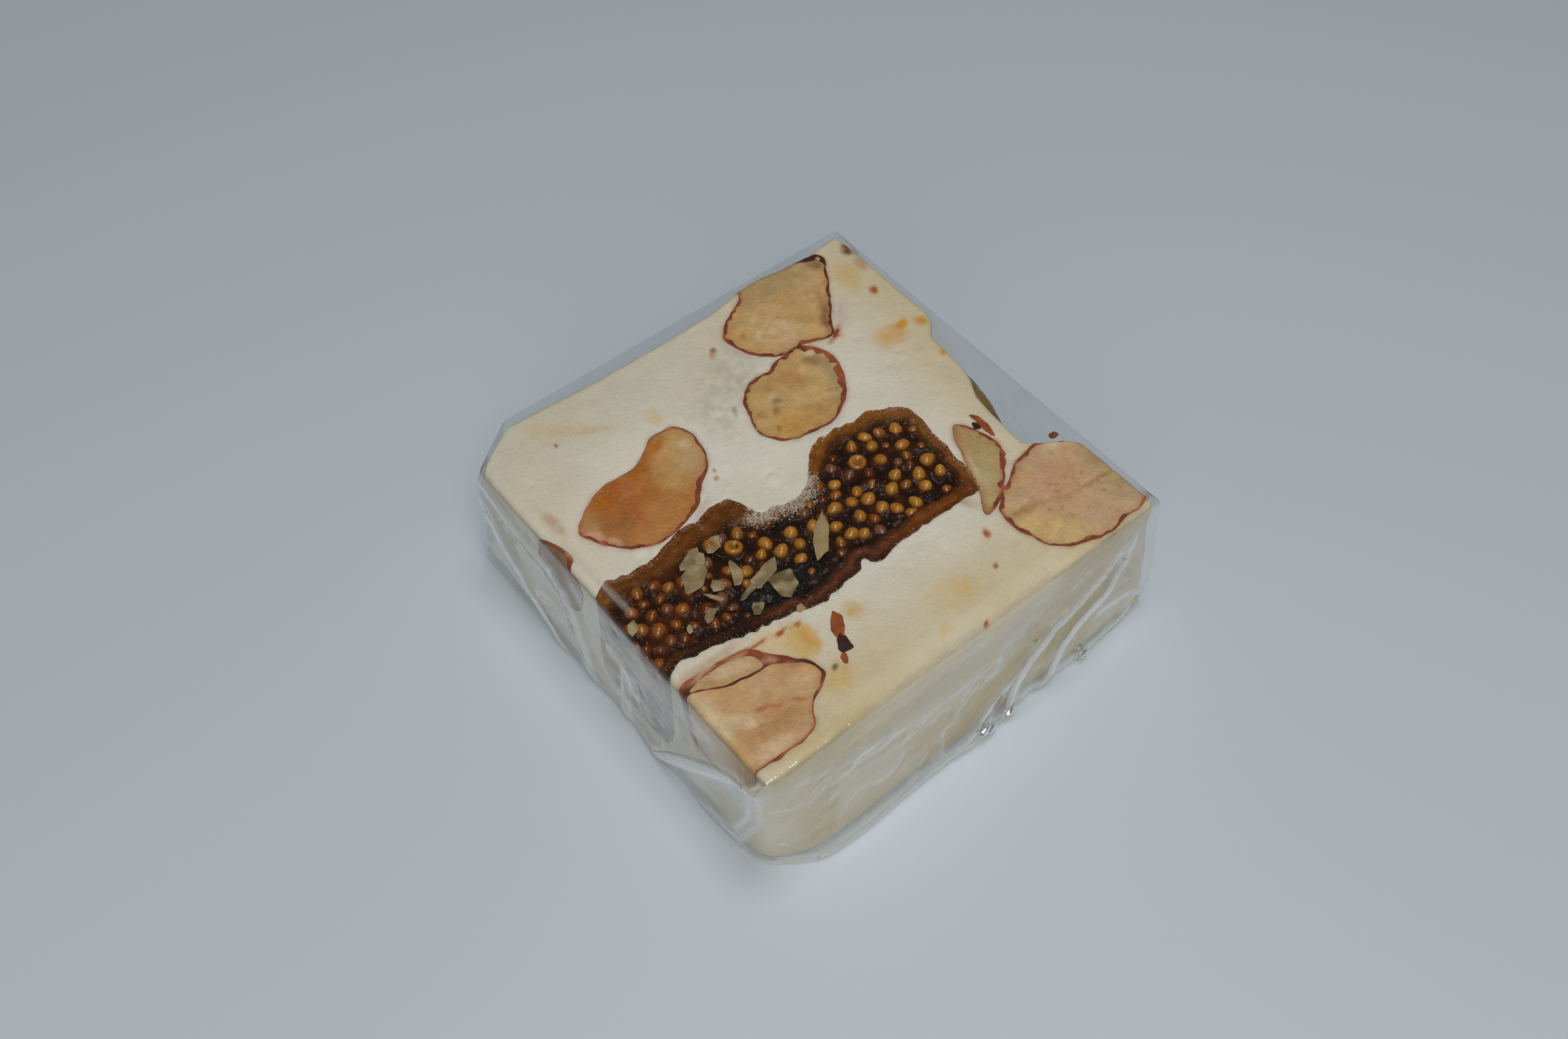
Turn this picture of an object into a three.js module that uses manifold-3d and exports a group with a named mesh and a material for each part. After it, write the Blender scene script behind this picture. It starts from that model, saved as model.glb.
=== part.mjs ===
// A square piece of soft white nougat in its folded clear film. Almonds, a slice of dried fig and
// a sultana are set in the nougat, and the knife that cut the top and the sides went through them.
// Millimetres, +Z up. X and Y run along the sides of the square, and the foot stands on Z = 0.
import * as THREE from 'three';
import { mergeVertices } from 'three/addons/utils/BufferGeometryUtils.js';
import Module from 'manifold-3d';

const wasm = await Module();
wasm.setup();

// ---- Driving dimensions ----
const PACK_HEIGHT = 13.3;
const FILM_THICKNESS = 0.2; // the real film is thinner, and this is the least that stays a sound solid
const FIT_GAP = 0.3; // between any two pieces that touch
const NOUGAT_TOP = PACK_HEIGHT - FILM_THICKNESS - FIT_GAP;
const CUT_PAST = 2.5; // how far a piece that meets a side is drawn past it before the side cuts it

// The five corners of the pack seen from above, anticlockwise from the front left one. The back
// left corner is cut off, and the foot flares out towards the front.
const FOOT_CORNERS = [[-21.0, -22.3], [20.4, -21.5], [20.4, 20.4], [-18.8, 20.4], [-20.8, 18.6]];
const TOP_CORNERS = [[-20.6, -20.4], [20.3, -20.1], [20.3, 20.3], [-15.7, 20.3], [-20.5, 16.9]];
const SIDES = { front: 0, right: 1, back: 2, left: 4 }; // the side from each corner to the next
const CORNER_RADIUS = 0.8;
const EDGE_RADIUS = 0.7;

const FOLD_HEIGHT = 0.28; // how far a crease of the film stands out
const FOLD_HALF_WIDTH = 2.2;
const HOLLOW_DEPTH = 3.6; // the nougat's right side is torn in beside the sultana
const HOLLOW_START = [-11, -8]; // Y where its steep end starts and is down
const HOLLOW_END = [-4.5, 6.8]; // Y where its shallow end starts to rise and is up
const SAG_DEPTH = 0.9; // its back side bows in
const SAG_CENTRE = -2;
const SAG_HALF_WIDTH = 11;

// The slit that stays open where the film's flaps meet under the foot.
const SLIT = { length: 26, width: 0.5 };

// ---- Outlines of what is set in the nougat, as they show on the cut top ----
const FIG_OUTLINE = [
  [-23, 1.3], [-19.3, 1.6], [-15.5, 1.2], [-12, 1.7], [-8.3, 2.5], [-6.5, 1.9], [-5.9, -0.1],
  [-4, -0.8], [-2.1, -1.4], [-0.4, -0.8], [1.2, 1.2], [3.2, 2.3], [6.8, 2.1], [9.7, 1.6],
  [11, 0], [11.1, -2.8], [10.6, -6.5], [10, -9.4], [8.3, -10.1], [4, -9.9], [0, -10.3],
  [-2, -9.3], [-4.5, -10.1], [-8, -10.4], [-12.5, -9.4], [-18, -8.2], [-23, -8.8],
];
const ALMONDS = [
  {
    name: 'almond_back',
    depth: 6.5,
    outline: [[16.2, 19.3], [16.9, 18.3], [15.6, 15.9], [12.1, 10.6], [10, 10.9], [8.2, 11.6],
      [6, 11.5], [4.5, 13.2], [4.1, 15.8], [6.4, 18.4], [8.9, 20.3], [10.5, 22.3], [14.5, 22.3]],
  },
  {
    name: 'almond_round',
    depth: 5.5,
    outline: [[0.1, 9.1], [1.5, 10.3], [4.4, 10.7], [7.6, 10.8], [9.4, 10.3], [9.9, 8.4],
      [9.3, 5.9], [7.4, 4.0], [5.0, 3.0], [2.3, 3.3], [0.2, 4.8], [-0.3, 6.8]],
  },
  {
    name: 'almond_left',
    depth: 6,
    outline: [[-17.8, 6.6], [-17.1, 8.1], [-14.7, 9.2], [-11.4, 9.5], [-9.1, 10.2], [-7.1, 11.1],
      [-5.3, 10.4], [-4.6, 8.5], [-5.5, 6.0], [-7.8, 4.1], [-10.4, 2.6], [-13.4, 2.2],
      [-16.2, 3.5]],
  },
  {
    name: 'almond_right',
    depth: 7.5,
    outline: [[9.1, -14.1], [9.8, -12.3], [12.4, -10.3], [15.6, -9.4], [18.4, -10], [20.4, -11.8],
      [22.4, -14], [21.6, -18.2], [18.7, -19.3], [15.2, -19.6], [12.1, -18.8], [10, -16.6]],
  },
  {
    name: 'almond_front',
    depth: 6.5,
    outline: [[-22.6, -10.6], [-20, -10.9], [-17.7, -12.2], [-14.4, -12.6], [-12.4, -13.6],
      [-11.1, -15.0], [-12.4, -16.4], [-14, -17.6], [-14.9, -18.7], [-17.4, -18.9],
      [-20.4, -18.8], [-22.6, -18.4]],
  },
  {
    name: 'almond_front_half',
    depth: 4.5,
    outline: [[-19.6, -10.3], [-18.4, -9.9], [-16, -10.2], [-14.2, -11.1], [-13.4, -12.1],
      [-15, -12.1], [-17.3, -11.7]],
  },
  {
    name: 'almond_sliver',
    depth: 4,
    outline: [[12.8, -3.6], [13.8, -5.1], [14.2, -7.2], [13.5, -9.3], [11.6, -11.1],
      [9.2, -11.9], [10.4, -9.2], [11.3, -6.0]],
  },
];
const OUTLINE_STEPS = 26;
const FIG_STEPS = 62;
const FIG_DEPTH = 10.6;

// The almond that lies flat behind the left side, and the sultana on the wall of the hollow.
const SIDE_ALMOND = { centre: [-20.6, 6.6, 9.9], half: [1.5, 4.3, 3.5], tilt: 0.35 };
const SULTANA = { centre: [17.6, -2.0, 9.4], half: [1.5, 5.3, 3.1], tilt: 0.19 };

const PIECES = {
  nougat: { color: 0xd9d3bf, roughness: 0.55 },
  fig: { color: 0x4a2413, roughness: 0.35 },
  almond: { color: 0xcaa06c, roughness: 0.6 },
  sultana: { color: 0x6f5526, roughness: 0.35 },
  film: { color: 0xdfe3e6, roughness: 0.08, transparent: true, opacity: 0.25 },
};

// ---- Small helpers ----
const mix = (a, b, t) => a + (b - a) * t;
const smooth = (from, to, x) => THREE.MathUtils.smoothstep(x, from, to);

// A closed smooth line through the given points, as evenly spread points.
function smoothLoop(points, steps) {
  const corners = points.map(([x, y]) => new THREE.Vector3(x, y, 0));
  const curve = new THREE.CatmullRomCurve3(corners, true, 'centripetal');
  const loop = curve.getSpacedPoints(steps).slice(0, steps).map((p) => new THREE.Vector2(p.x, p.y));
  return THREE.ShapeUtils.area(loop) < 0 ? loop.reverse() : loop;
}

// The loop moved outwards by a distance, or inwards if that is negative.
function moved(loop, distance) {
  return loop.map((p, i) => {
    const before = loop[(i + loop.length - 1) % loop.length];
    const after = loop[(i + 1) % loop.length];
    const along = after.clone().sub(before).normalize();
    return new THREE.Vector2(p.x + along.y * distance, p.y - along.x * distance);
  });
}

// A closed body through rings of equally many points, lowest first, with a flat cap at each end.
function loft(rings) {
  const count = rings[0].loop.length;
  const positions = rings.flatMap(({ loop, z }) => loop.flatMap((p) => [p.x, p.y, z]));
  const index = [];
  for (let r = 0; r + 1 < rings.length; r++) {
    for (let i = 0; i < count; i++) {
      const a = r * count + i;
      const b = r * count + ((i + 1) % count);
      index.push(a, b, b + count, a, b + count, a + count);
    }
  }
  const top = (rings.length - 1) * count;
  for (const [a, b, c] of THREE.ShapeUtils.triangulateShape(rings[0].loop, [])) index.push(c, b, a);
  for (const [a, b, c] of THREE.ShapeUtils.triangulateShape(rings.at(-1).loop, [])) {
    index.push(top + a, top + b, top + c);
  }
  const geometry = new THREE.BufferGeometry();
  geometry.setAttribute('position', new THREE.Float32BufferAttribute(positions, 3));
  geometry.setIndex(index);
  return geometry;
}

// A three.js geometry as a manifold-3d solid, and back.
function solid(geometry) {
  const bare = geometry.clone();
  bare.deleteAttribute('normal');
  bare.deleteAttribute('uv');
  const merged = mergeVertices(bare, 1e-4);
  return new wasm.Manifold(new wasm.Mesh({
    numProp: 3,
    vertProperties: merged.attributes.position.array,
    triVerts: new Uint32Array(merged.index.array),
  }));
}

function geometryOf(body) {
  const { vertProperties, triVerts, numProp } = body.getMesh();
  const positions = [];
  for (let i = 0; i < vertProperties.length; i += numProp) {
    positions.push(vertProperties[i], vertProperties[i + 1], vertProperties[i + 2]);
  }
  const geometry = new THREE.BufferGeometry();
  geometry.setAttribute('position', new THREE.Float32BufferAttribute(positions, 3));
  geometry.setIndex([...triVerts]);
  geometry.computeVertexNormals();
  return geometry;
}

// The body's largest part, without crumbs that a cut left over.
function largest(body) {
  return body.decompose().reduce((a, b) => (a.volume() >= b.volume() ? a : b));
}

// ---- The block and the film round it ----
// The corners moved inwards by a distance, each along the line that halves its angle.
function insetCorners(corners, distance) {
  return corners.map((here, i) => {
    const before = corners[(i + corners.length - 1) % corners.length];
    const after = corners[(i + 1) % corners.length];
    const inwards = (from, to) => {
      const along = to.clone().sub(from).normalize();
      return new THREE.Vector2(-along.y, along.x);
    };
    const [n1, n2] = [inwards(before, here), inwards(here, after)];
    const half = n1.clone().add(n2).divideScalar(1 + n1.dot(n2));
    return here.clone().addScaledVector(half, distance);
  });
}

// A ring round the corners, each rounded, with evenly spread points along the sides between them.
// place(point, side) moves the points of a side.
function cornerRing(corners, steps, place) {
  const towards = (from, to) => to.clone().sub(from).setLength(CORNER_RADIUS).add(from);
  return corners.flatMap((here, side) => {
    const before = corners[(side + corners.length - 1) % corners.length];
    const after = corners[(side + 1) % corners.length];
    const [start, end] = [towards(here, before), towards(here, after)];
    const arc = new THREE.QuadraticBezierCurve(start, here, end).getPoints(3);
    const next = towards(after, here);
    const along = [];
    for (let s = 1; s < steps[side]; s++) along.push(place(end.clone().lerp(next, s / steps[side]), side));
    return [...arc, ...along];
  });
}

// The pack's shape, lying inset all round, with its top and foot edges rounded. levels are the
// heights of its rings as shares of its side, and place(point, side, share) shapes them.
function packShape({ inset, levels, steps, place }) {
  const [low, high] = [inset + EDGE_RADIUS, PACK_HEIGHT - inset - EDGE_RADIUS];
  const turns = [1, 0.62, 0.28].map((share) => (share * Math.PI) / 2);
  const rounded = turns.map((angle) => ({
    rise: EDGE_RADIUS * Math.sin(angle),
    inward: EDGE_RADIUS * (1 - Math.cos(angle)),
  }));
  const stack = [
    ...rounded.map(({ rise, inward }) => ({ z: low - rise, inward })),
    ...levels.map((level) => ({ z: mix(low, high, level), inward: 0 })),
    ...rounded.toReversed().map(({ rise, inward }) => ({ z: high + rise, inward })),
  ];
  return solid(loft(stack.map(({ z, inward }) => {
    const share = z / PACK_HEIGHT;
    const corners = FOOT_CORNERS.map(([x, y], i) => {
      const [topX, topY] = TOP_CORNERS[i];
      return new THREE.Vector2(mix(x, topX, share), mix(y, topY, share));
    });
    const ring = insetCorners(corners, inset + inward);
    return { loop: cornerRing(ring, steps, (p, side) => place(p, side, share)), z };
  })));
}

// Creases run slantwise down the film's left and front sides. Each is a ridge along a line between
// two points of its side, given as a distance along the side and a share of the height.
const CREASES = [
  { side: SIDES.left, from: [16, 0.95], to: [2, 0.1] },
  { side: SIDES.left, from: [10, 0.85], to: [-6, 0.1] },
  { side: SIDES.left, from: [-19, 0.9], to: [-7, 0.15] },
  { side: SIDES.front, from: [18, 0.85], to: [-2, 0.15] },
  { side: SIDES.front, from: [16, 0.6], to: [7, 0.05] },
];

function creased(p, side, share) {
  const onLeft = side === SIDES.left;
  const along = onLeft ? p.y : p.x;
  let height = 0;
  for (const { side: creasedSide, from, to } of CREASES) {
    const down = (share - from[1]) / (to[1] - from[1]);
    if (creasedSide !== side || down < 0 || down > 1) continue;
    const off = Math.abs(along - mix(from[0], to[0], down)) / FOLD_HALF_WIDTH;
    height = Math.max(height, FOLD_HEIGHT * (1 - off));
  }
  return new THREE.Vector2(p.x - (onLeft ? height : 0), p.y - (onLeft ? 0 : height));
}

// The hollow of the right side and the sag of the back side.
function hollowed(p, side) {
  const down = smooth(...HOLLOW_START, p.y) * (1 - smooth(...HOLLOW_END, p.y));
  const off = Math.min(Math.abs(p.x - SAG_CENTRE) / SAG_HALF_WIDTH, 1);
  const hollow = side === SIDES.right ? HOLLOW_DEPTH * down : 0;
  const sag = side === SIDES.back ? SAG_DEPTH * Math.cos((off * Math.PI) / 2) ** 2 : 0;
  return new THREE.Vector2(p.x - hollow, p.y - sag);
}

const filmShape = (inset) => packShape({
  inset, levels: [0, 0.25, 0.5, 0.75, 1], steps: [12, 3, 3, 2, 12], place: creased,
});

function filmWrap() {
  const slit = new THREE.BoxGeometry(SLIT.length, SLIT.width, 4 * FILM_THICKNESS);
  return filmShape(0).subtract(filmShape(FILM_THICKNESS)).subtract(solid(slit));
}

const blockShape = () => packShape({
  inset: FILM_THICKNESS + FIT_GAP, levels: [0, 0.5, 1], steps: [3, 22, 12, 2, 3], place: hollowed,
});

// ---- What is set in the nougat ----
// A body that is cut flat at the top and rounds off below, like the lower half of a pebble.
function cutPebble(outline, depth, steps, grown) {
  const loop = moved(smoothLoop(outline, steps), grown);
  const centre = loop.reduce((sum, p) => sum.add(p), new THREE.Vector2()).divideScalar(steps);
  const turns = [0.86, 0.66, 0.42, 0.18, 0]; // shares of a quarter turn, from the bottom up
  const full = depth + grown;
  const rings = turns.map((t) => {
    const angle = (t * Math.PI) / 2;
    return {
      loop: loop.map((p) => p.clone().lerp(centre, 1 - Math.cos(angle) ** 0.7)),
      z: NOUGAT_TOP - full * Math.sin(angle),
    };
  });
  rings.push({ loop, z: NOUGAT_TOP + CUT_PAST });
  return solid(loft(rings));
}

// The fig slice keeps its width almost to its lower face.
function figSlice(grown) {
  const loop = moved(smoothLoop(FIG_OUTLINE, FIG_STEPS), grown);
  const floor = NOUGAT_TOP - FIG_DEPTH - grown;
  const rings = [
    { loop: moved(loop, -1.1), z: floor },
    { loop: moved(loop, -0.3), z: floor + 1.2 },
    { loop, z: floor + 3 },
    { loop, z: NOUGAT_TOP + CUT_PAST },
  ];
  return solid(loft(rings));
}

// A whole almond or sultana: a ball drawn out on its three half axes and leaned over.
function pebble({ centre, half, tilt }, grown) {
  const ball = new THREE.SphereGeometry(1, 18, 11);
  ball.scale(half[0] + grown, half[1] + grown, half[2] + grown);
  ball.rotateZ(tilt);
  ball.translate(...centre);
  return solid(ball);
}

// ---- Putting the pieces together ----
function mesh(name, body, look) {
  const made = new THREE.Mesh(
    geometryOf(body),
    new THREE.MeshStandardMaterial({ metalness: 0, ...look }),
  );
  made.name = name;
  return made;
}

// Each entry gives a piece's own body, and the same body grown by a gap for what it is set in.
const settings = [
  { name: 'fig_slice', look: PIECES.fig, body: figSlice },
  ...ALMONDS.map(({ name, outline, depth }) => ({
    name,
    look: PIECES.almond,
    body: (grown) => cutPebble(outline, depth, OUTLINE_STEPS, grown),
  })),
  { name: 'almond_side', look: PIECES.almond, body: (grown) => pebble(SIDE_ALMOND, grown) },
  { name: 'sultana', look: PIECES.sultana, body: (grown) => pebble(SULTANA, grown) },
];

const pack = new THREE.Group();
pack.add(mesh('film_wrap', filmWrap(), PIECES.film));

// Earlier pieces take their room first, so each later one is cut back by the gap round them.
const whole = blockShape();
const room = filmShape(FILM_THICKNESS + FIT_GAP);
let nougat = whole;
let taken = null;
for (const { name, look, body } of settings) {
  const bulges = name === 'sultana'; // it stands out of the hollow, so the side doesn't cut it
  const within = body(0).intersect(bulges ? room : whole);
  const placed = largest(taken ? within.subtract(taken) : within);
  const space = body(FIT_GAP);
  taken = taken ? taken.add(space) : space;
  nougat = nougat.subtract(space);
  pack.add(mesh(name, placed, look));
}
pack.add(mesh('nougat', largest(nougat), PIECES.nougat));

// The origin is the middle of the foot.
const bounds = new THREE.Box3().setFromObject(pack);
const middle = bounds.getCenter(new THREE.Vector3());
pack.position.set(-middle.x, -middle.y, -bounds.min.z);

export default pack;
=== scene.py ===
"""A piece of soft white nougat with almonds, dried fig and a sultana, wrapped in clear film.

The pack is made in millimetres in its own square: X and Y run along its sides from the middle of
its cut top, and Z goes up from the foot. finish_piece() moves each piece from there into the
frame. The floor, the lamps and the camera are in the frame's metres.
"""
import itertools
import math

import bmesh
import bpy
import numpy as np
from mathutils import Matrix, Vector


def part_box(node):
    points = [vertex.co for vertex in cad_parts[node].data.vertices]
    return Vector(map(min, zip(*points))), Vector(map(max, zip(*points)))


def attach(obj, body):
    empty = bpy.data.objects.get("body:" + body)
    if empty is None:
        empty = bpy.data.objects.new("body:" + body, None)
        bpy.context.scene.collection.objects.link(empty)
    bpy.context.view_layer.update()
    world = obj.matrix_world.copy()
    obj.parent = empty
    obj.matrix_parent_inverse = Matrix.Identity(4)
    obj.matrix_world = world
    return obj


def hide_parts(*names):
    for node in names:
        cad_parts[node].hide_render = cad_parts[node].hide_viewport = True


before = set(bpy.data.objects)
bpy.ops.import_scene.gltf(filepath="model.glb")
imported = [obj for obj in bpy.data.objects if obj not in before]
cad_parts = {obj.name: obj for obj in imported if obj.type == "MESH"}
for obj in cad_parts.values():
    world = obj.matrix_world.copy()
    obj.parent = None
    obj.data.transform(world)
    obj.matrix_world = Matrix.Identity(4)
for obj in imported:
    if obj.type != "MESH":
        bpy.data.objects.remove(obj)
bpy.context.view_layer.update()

MM = 0.001
FILM_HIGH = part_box("film_wrap")[1]
FILM_BACK_RIGHT = 20.4  # where the film's back and right sides meet the foot, in the pack's square
ORIGIN = np.array([FILM_HIGH.x / MM - FILM_BACK_RIGHT, FILM_HIGH.y / MM - FILM_BACK_RIGHT, 0.0])
FILM_TOP = FILM_HIGH.z / MM - 0.03
FILM_FOOT = 0.03
NOUGAT_TOP = FILM_TOP - 0.16
NOUGAT_FOOT = 0.25
FIG_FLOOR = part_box("fig_slice")[0].z / MM

# The film's corners at the foot and at the top, anticlockwise from the front left one.
FOOT_CORNERS = np.array([[-21.0, -22.2], [20.4, -21.5], [20.4, 20.4], [-20.9, 20.4]])
TOP_CORNERS = np.array([[-20.6, -20.4], [20.3, -20.1], [20.3, 20.3], [-20.5, 20.3]])
# Two upright corners are cut off along a line, given by its two ends at the foot and at the top.
CUT_CORNERS = [
    (np.array([[-18.8, 20.4], [-20.8, 18.6]]), np.array([[-15.7, 20.3], [-20.5, 16.9]]), 0.3),
    (np.array([[-20.95, -19.4], [-16.6, -22.5]]), np.array([[-20.7, -20.0], [-20.2, -20.5]]), 1.0)]


# ---- Noise and lines ----
def noise(points, size, seed):
    """Smooth random values from -1 to 1 at the points, with bumps about size apart."""
    cells = 32
    lattice = np.random.default_rng(seed).uniform(-1, 1, (cells, cells, cells))
    spot = points / size
    base = np.floor(spot).astype(int)
    share = spot - base
    share = share * share * (3 - 2 * share)
    value = np.zeros(len(points))
    for corner in itertools.product((0, 1), repeat=3):
        weight = np.prod(np.where(corner, share, 1 - share), axis=1)
        x, y, z = ((base + corner) % cells).T
        value += weight * lattice[x, y, z]
    return value


def ramp(value, start, end):
    """0 up to start, 1 from end, and a smooth rise between them."""
    share = np.clip((value - start) / (end - start), 0, 1)
    return share * share * (3 - 2 * share)


def blob(points, x, y, radius, stretch=1.0, turn=0.0):
    """1 at a place seen from above, falling to 0 about radius away, stretched along a turned axis."""
    angle = math.radians(turn)
    dx, dy = points[:, 0] - x, points[:, 1] - y
    along = dx * math.cos(angle) + dy * math.sin(angle)
    across = dy * math.cos(angle) - dx * math.sin(angle)
    return np.exp(-((along / stretch) ** 2 + across ** 2) / radius ** 2)


def even_loop(line, steps):
    """A closed line as evenly spread points."""
    closed = np.vstack([line, line[:1]])
    run = np.concatenate([[0], np.cumsum(np.linalg.norm(np.diff(closed, axis=0), axis=1))])
    at = np.linspace(0, run[-1], steps, endpoint=False)
    return np.stack([np.interp(at, run, closed[:, k]) for k in (0, 1)], axis=1)


def smooth_loop(points, steps=200):
    """A closed smooth line through the points, anticlockwise."""
    here = np.array(points, float)
    before, after, later = np.roll(here, 1, 0), np.roll(here, -1, 0), np.roll(here, -2, 0)
    t = np.linspace(0, 1, 12, endpoint=False)[:, None, None]
    curve = 0.5 * (2 * here + (after - before) * t
                   + (2 * before - 5 * here + 4 * after - later) * t ** 2
                   + (3 * here - before - 3 * after + later) * t ** 3)
    loop = even_loop(curve.transpose(1, 0, 2).reshape(-1, 2), steps)
    x, y = loop.T
    area = np.sum(x * np.roll(y, -1) - y * np.roll(x, -1))
    return loop if area > 0 else loop[::-1]


def outwards(loop):
    """The direction out of a closed line at each of its points."""
    along = np.roll(loop, -1, 0) - np.roll(loop, 1, 0)
    along /= np.linalg.norm(along, axis=1, keepdims=True)
    return np.stack([along[:, 1], -along[:, 0]], axis=1)


def segment_distance(points, start, end):
    """How far each point is from a straight stretch, and how far along it its nearest place is."""
    edge = end - start
    share = np.clip(((points - start) @ edge) / max(edge @ edge, 1e-12), 0, 1)
    return np.linalg.norm(points - start - share[:, None] * edge, axis=1), share


def line_distance(points, line):
    """How far each point is from an open line."""
    line = np.array(line, float)
    return np.min([segment_distance(points, a, b)[0] for a, b in zip(line, line[1:])], axis=0)


def inside_depth(points, loop):
    """How far in from a closed line each point lies, and less than 0 outside it."""
    near = np.full(len(points), np.inf)
    inside = np.zeros(len(points), bool)
    for a, b in zip(loop, np.roll(loop, -1, 0)):
        near = np.minimum(near, segment_distance(points, a, b)[0])
        if a[1] != b[1]:
            straddles = (a[1] > points[:, 1]) != (b[1] > points[:, 1])
            crossing = (b[0] - a[0]) * (points[:, 1] - a[1]) / (b[1] - a[1]) + a[0]
            inside ^= straddles & (points[:, 0] < crossing)
    return np.where(inside, near, -near)


# ---- Meshes ----
def linked(name, data):
    """An object of the scene that shows a mesh, a light or a camera."""
    made = bpy.data.objects.new(name, data)
    bpy.context.collection.objects.link(made)
    return made


def new_object(name, points, faces):
    """An object from points and faces, which is still in the pack's own millimetres."""
    mesh = bpy.data.meshes.new(name)
    mesh.from_pydata(np.asarray(points, float).tolist(), [], [list(map(int, f)) for f in faces])
    mesh.validate()
    return linked(name, mesh)


def points_of(obj, kind="co"):
    """Where each point of an object lies, or its other vector of a kind, such as its normal."""
    flat = np.empty(len(obj.data.vertices) * 3)
    obj.data.vertices.foreach_get(kind, flat)
    return flat.reshape(-1, 3)


def move_points(obj, points):
    obj.data.vertices.foreach_set("co", np.asarray(points, float).ravel())
    obj.data.update()


def ring_quads(count, rings, first=0):
    """The faces between rings of count points each, which follow one another from a first point."""
    step = np.arange(count)
    after = (step + 1) % count
    return [quad for a in range(first, first + count * (rings - 1), count)
            for quad in zip(a + step, a + after, a + count + after, a + count + step)]


def tube(name, rings):
    """A body through rings of equally many points, closed by a flat face at each end."""
    count = len(rings[0])
    step = np.arange(count)
    caps = [step[::-1], count * (len(rings) - 1) + step]
    return new_object(name, np.vstack(rings), ring_quads(count, len(rings)) + caps)


def loft(name, rings):
    """A closed body through level rings, lowest first. A ring is (loop, height)."""
    return tube(name, [np.column_stack([loop, np.full(len(loop), z)]) for loop, z in rings])


def keep_result(obj, modifier):
    """Makes a modifier's result the object's own mesh, and takes the modifier off."""
    made = bpy.data.meshes.new_from_object(
        obj.evaluated_get(bpy.context.evaluated_depsgraph_get()))
    obj.modifiers.remove(modifier)
    old, obj.data = obj.data, made
    bpy.data.meshes.remove(old)


def boolean(body, operation, *tools):
    """Cuts a body with others, one after another, and leaves those as they are."""
    for tool in tools:
        modifier = body.modifiers.new(operation, "BOOLEAN")
        modifier.operation = operation
        modifier.solver = "MANIFOLD"
        modifier.object = tool
        keep_result(body, modifier)
    return body


def copy_of(obj, name):
    return linked(name, obj.data.copy())


def remove(*objects):
    for obj in objects:
        mesh = obj.data
        bpy.data.objects.remove(obj)
        bpy.data.meshes.remove(mesh)


def joined(name, objects):
    """One object from several, which are used up."""
    mesh = bpy.data.meshes.new(name)
    builder = bmesh.new()
    for obj in objects:
        builder.from_mesh(obj.data)
    builder.to_mesh(mesh)
    builder.free()
    remove(*objects)
    return linked(name, mesh)


def paint(obj, name, colours):
    """Keeps a linear colour for each point of an object."""
    attribute = obj.data.attributes.get(name) or obj.data.attributes.new(name, "FLOAT_COLOR", "POINT")
    full = np.column_stack([colours, np.ones(len(colours))])
    attribute.data.foreach_set("color", full.ravel())


def weigh(obj, name, values):
    """Keeps a number for each point of an object."""
    attribute = obj.data.attributes.new(name, "FLOAT", "POINT")
    attribute.data.foreach_set("value", np.asarray(values, float))


def finish_piece(obj, material, replaced=(), sharp=45):
    """Puts a piece in the frame, with its material, its body and the CAD node it stands for."""
    points = (points_of(obj) + ORIGIN) * MM
    move_points(obj, points)
    obj.data.materials.clear()
    obj.data.materials.append(material)
    obj.data.shade_smooth()
    obj.data.set_sharp_from_angle(angle=math.radians(sharp))
    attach(obj, "root")
    if replaced:
        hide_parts(*replaced)


# ---- Colours and materials ----
def linear(hex_colour):
    """An sRGB colour such as #E2DECF as linear red, green and blue."""
    values = [int(hex_colour[i:i + 2], 16) / 255 for i in (1, 3, 5)]
    return np.array([v / 12.92 if v <= 0.04045 else ((v + 0.055) / 1.055) ** 2.4 for v in values])


def colour(hex_colour):
    return (*linear(hex_colour), 1.0)


def tinted(colours, weight, hex_colour):
    """The colours mixed towards another one by a weight for each point."""
    weight = np.clip(weight, 0, 1)[:, None]
    return colours * (1 - weight) + linear(hex_colour) * weight


def add_node(tree, kind, inputs=None, **settings):
    """Adds a node with its settings, and gives its inputs their values or links."""
    made = tree.nodes.new(kind)
    for name, value in settings.items():
        setattr(made, name, value)
    for name, value in (inputs or {}).items():
        if isinstance(value, bpy.types.NodeSocket):
            tree.links.new(value, made.inputs[name])
        else:
            made.inputs[name].default_value = value
    return made


def new_material(name):
    """A material with only its output node, and its node tree."""
    material = bpy.data.materials.new(name)
    material.use_nodes = True
    material.node_tree.nodes.clear()
    return material, material.node_tree


def per_mm(size):
    """The scale of a noise whose bumps are size millimetres apart."""
    return 1 / (size * MM)


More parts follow.
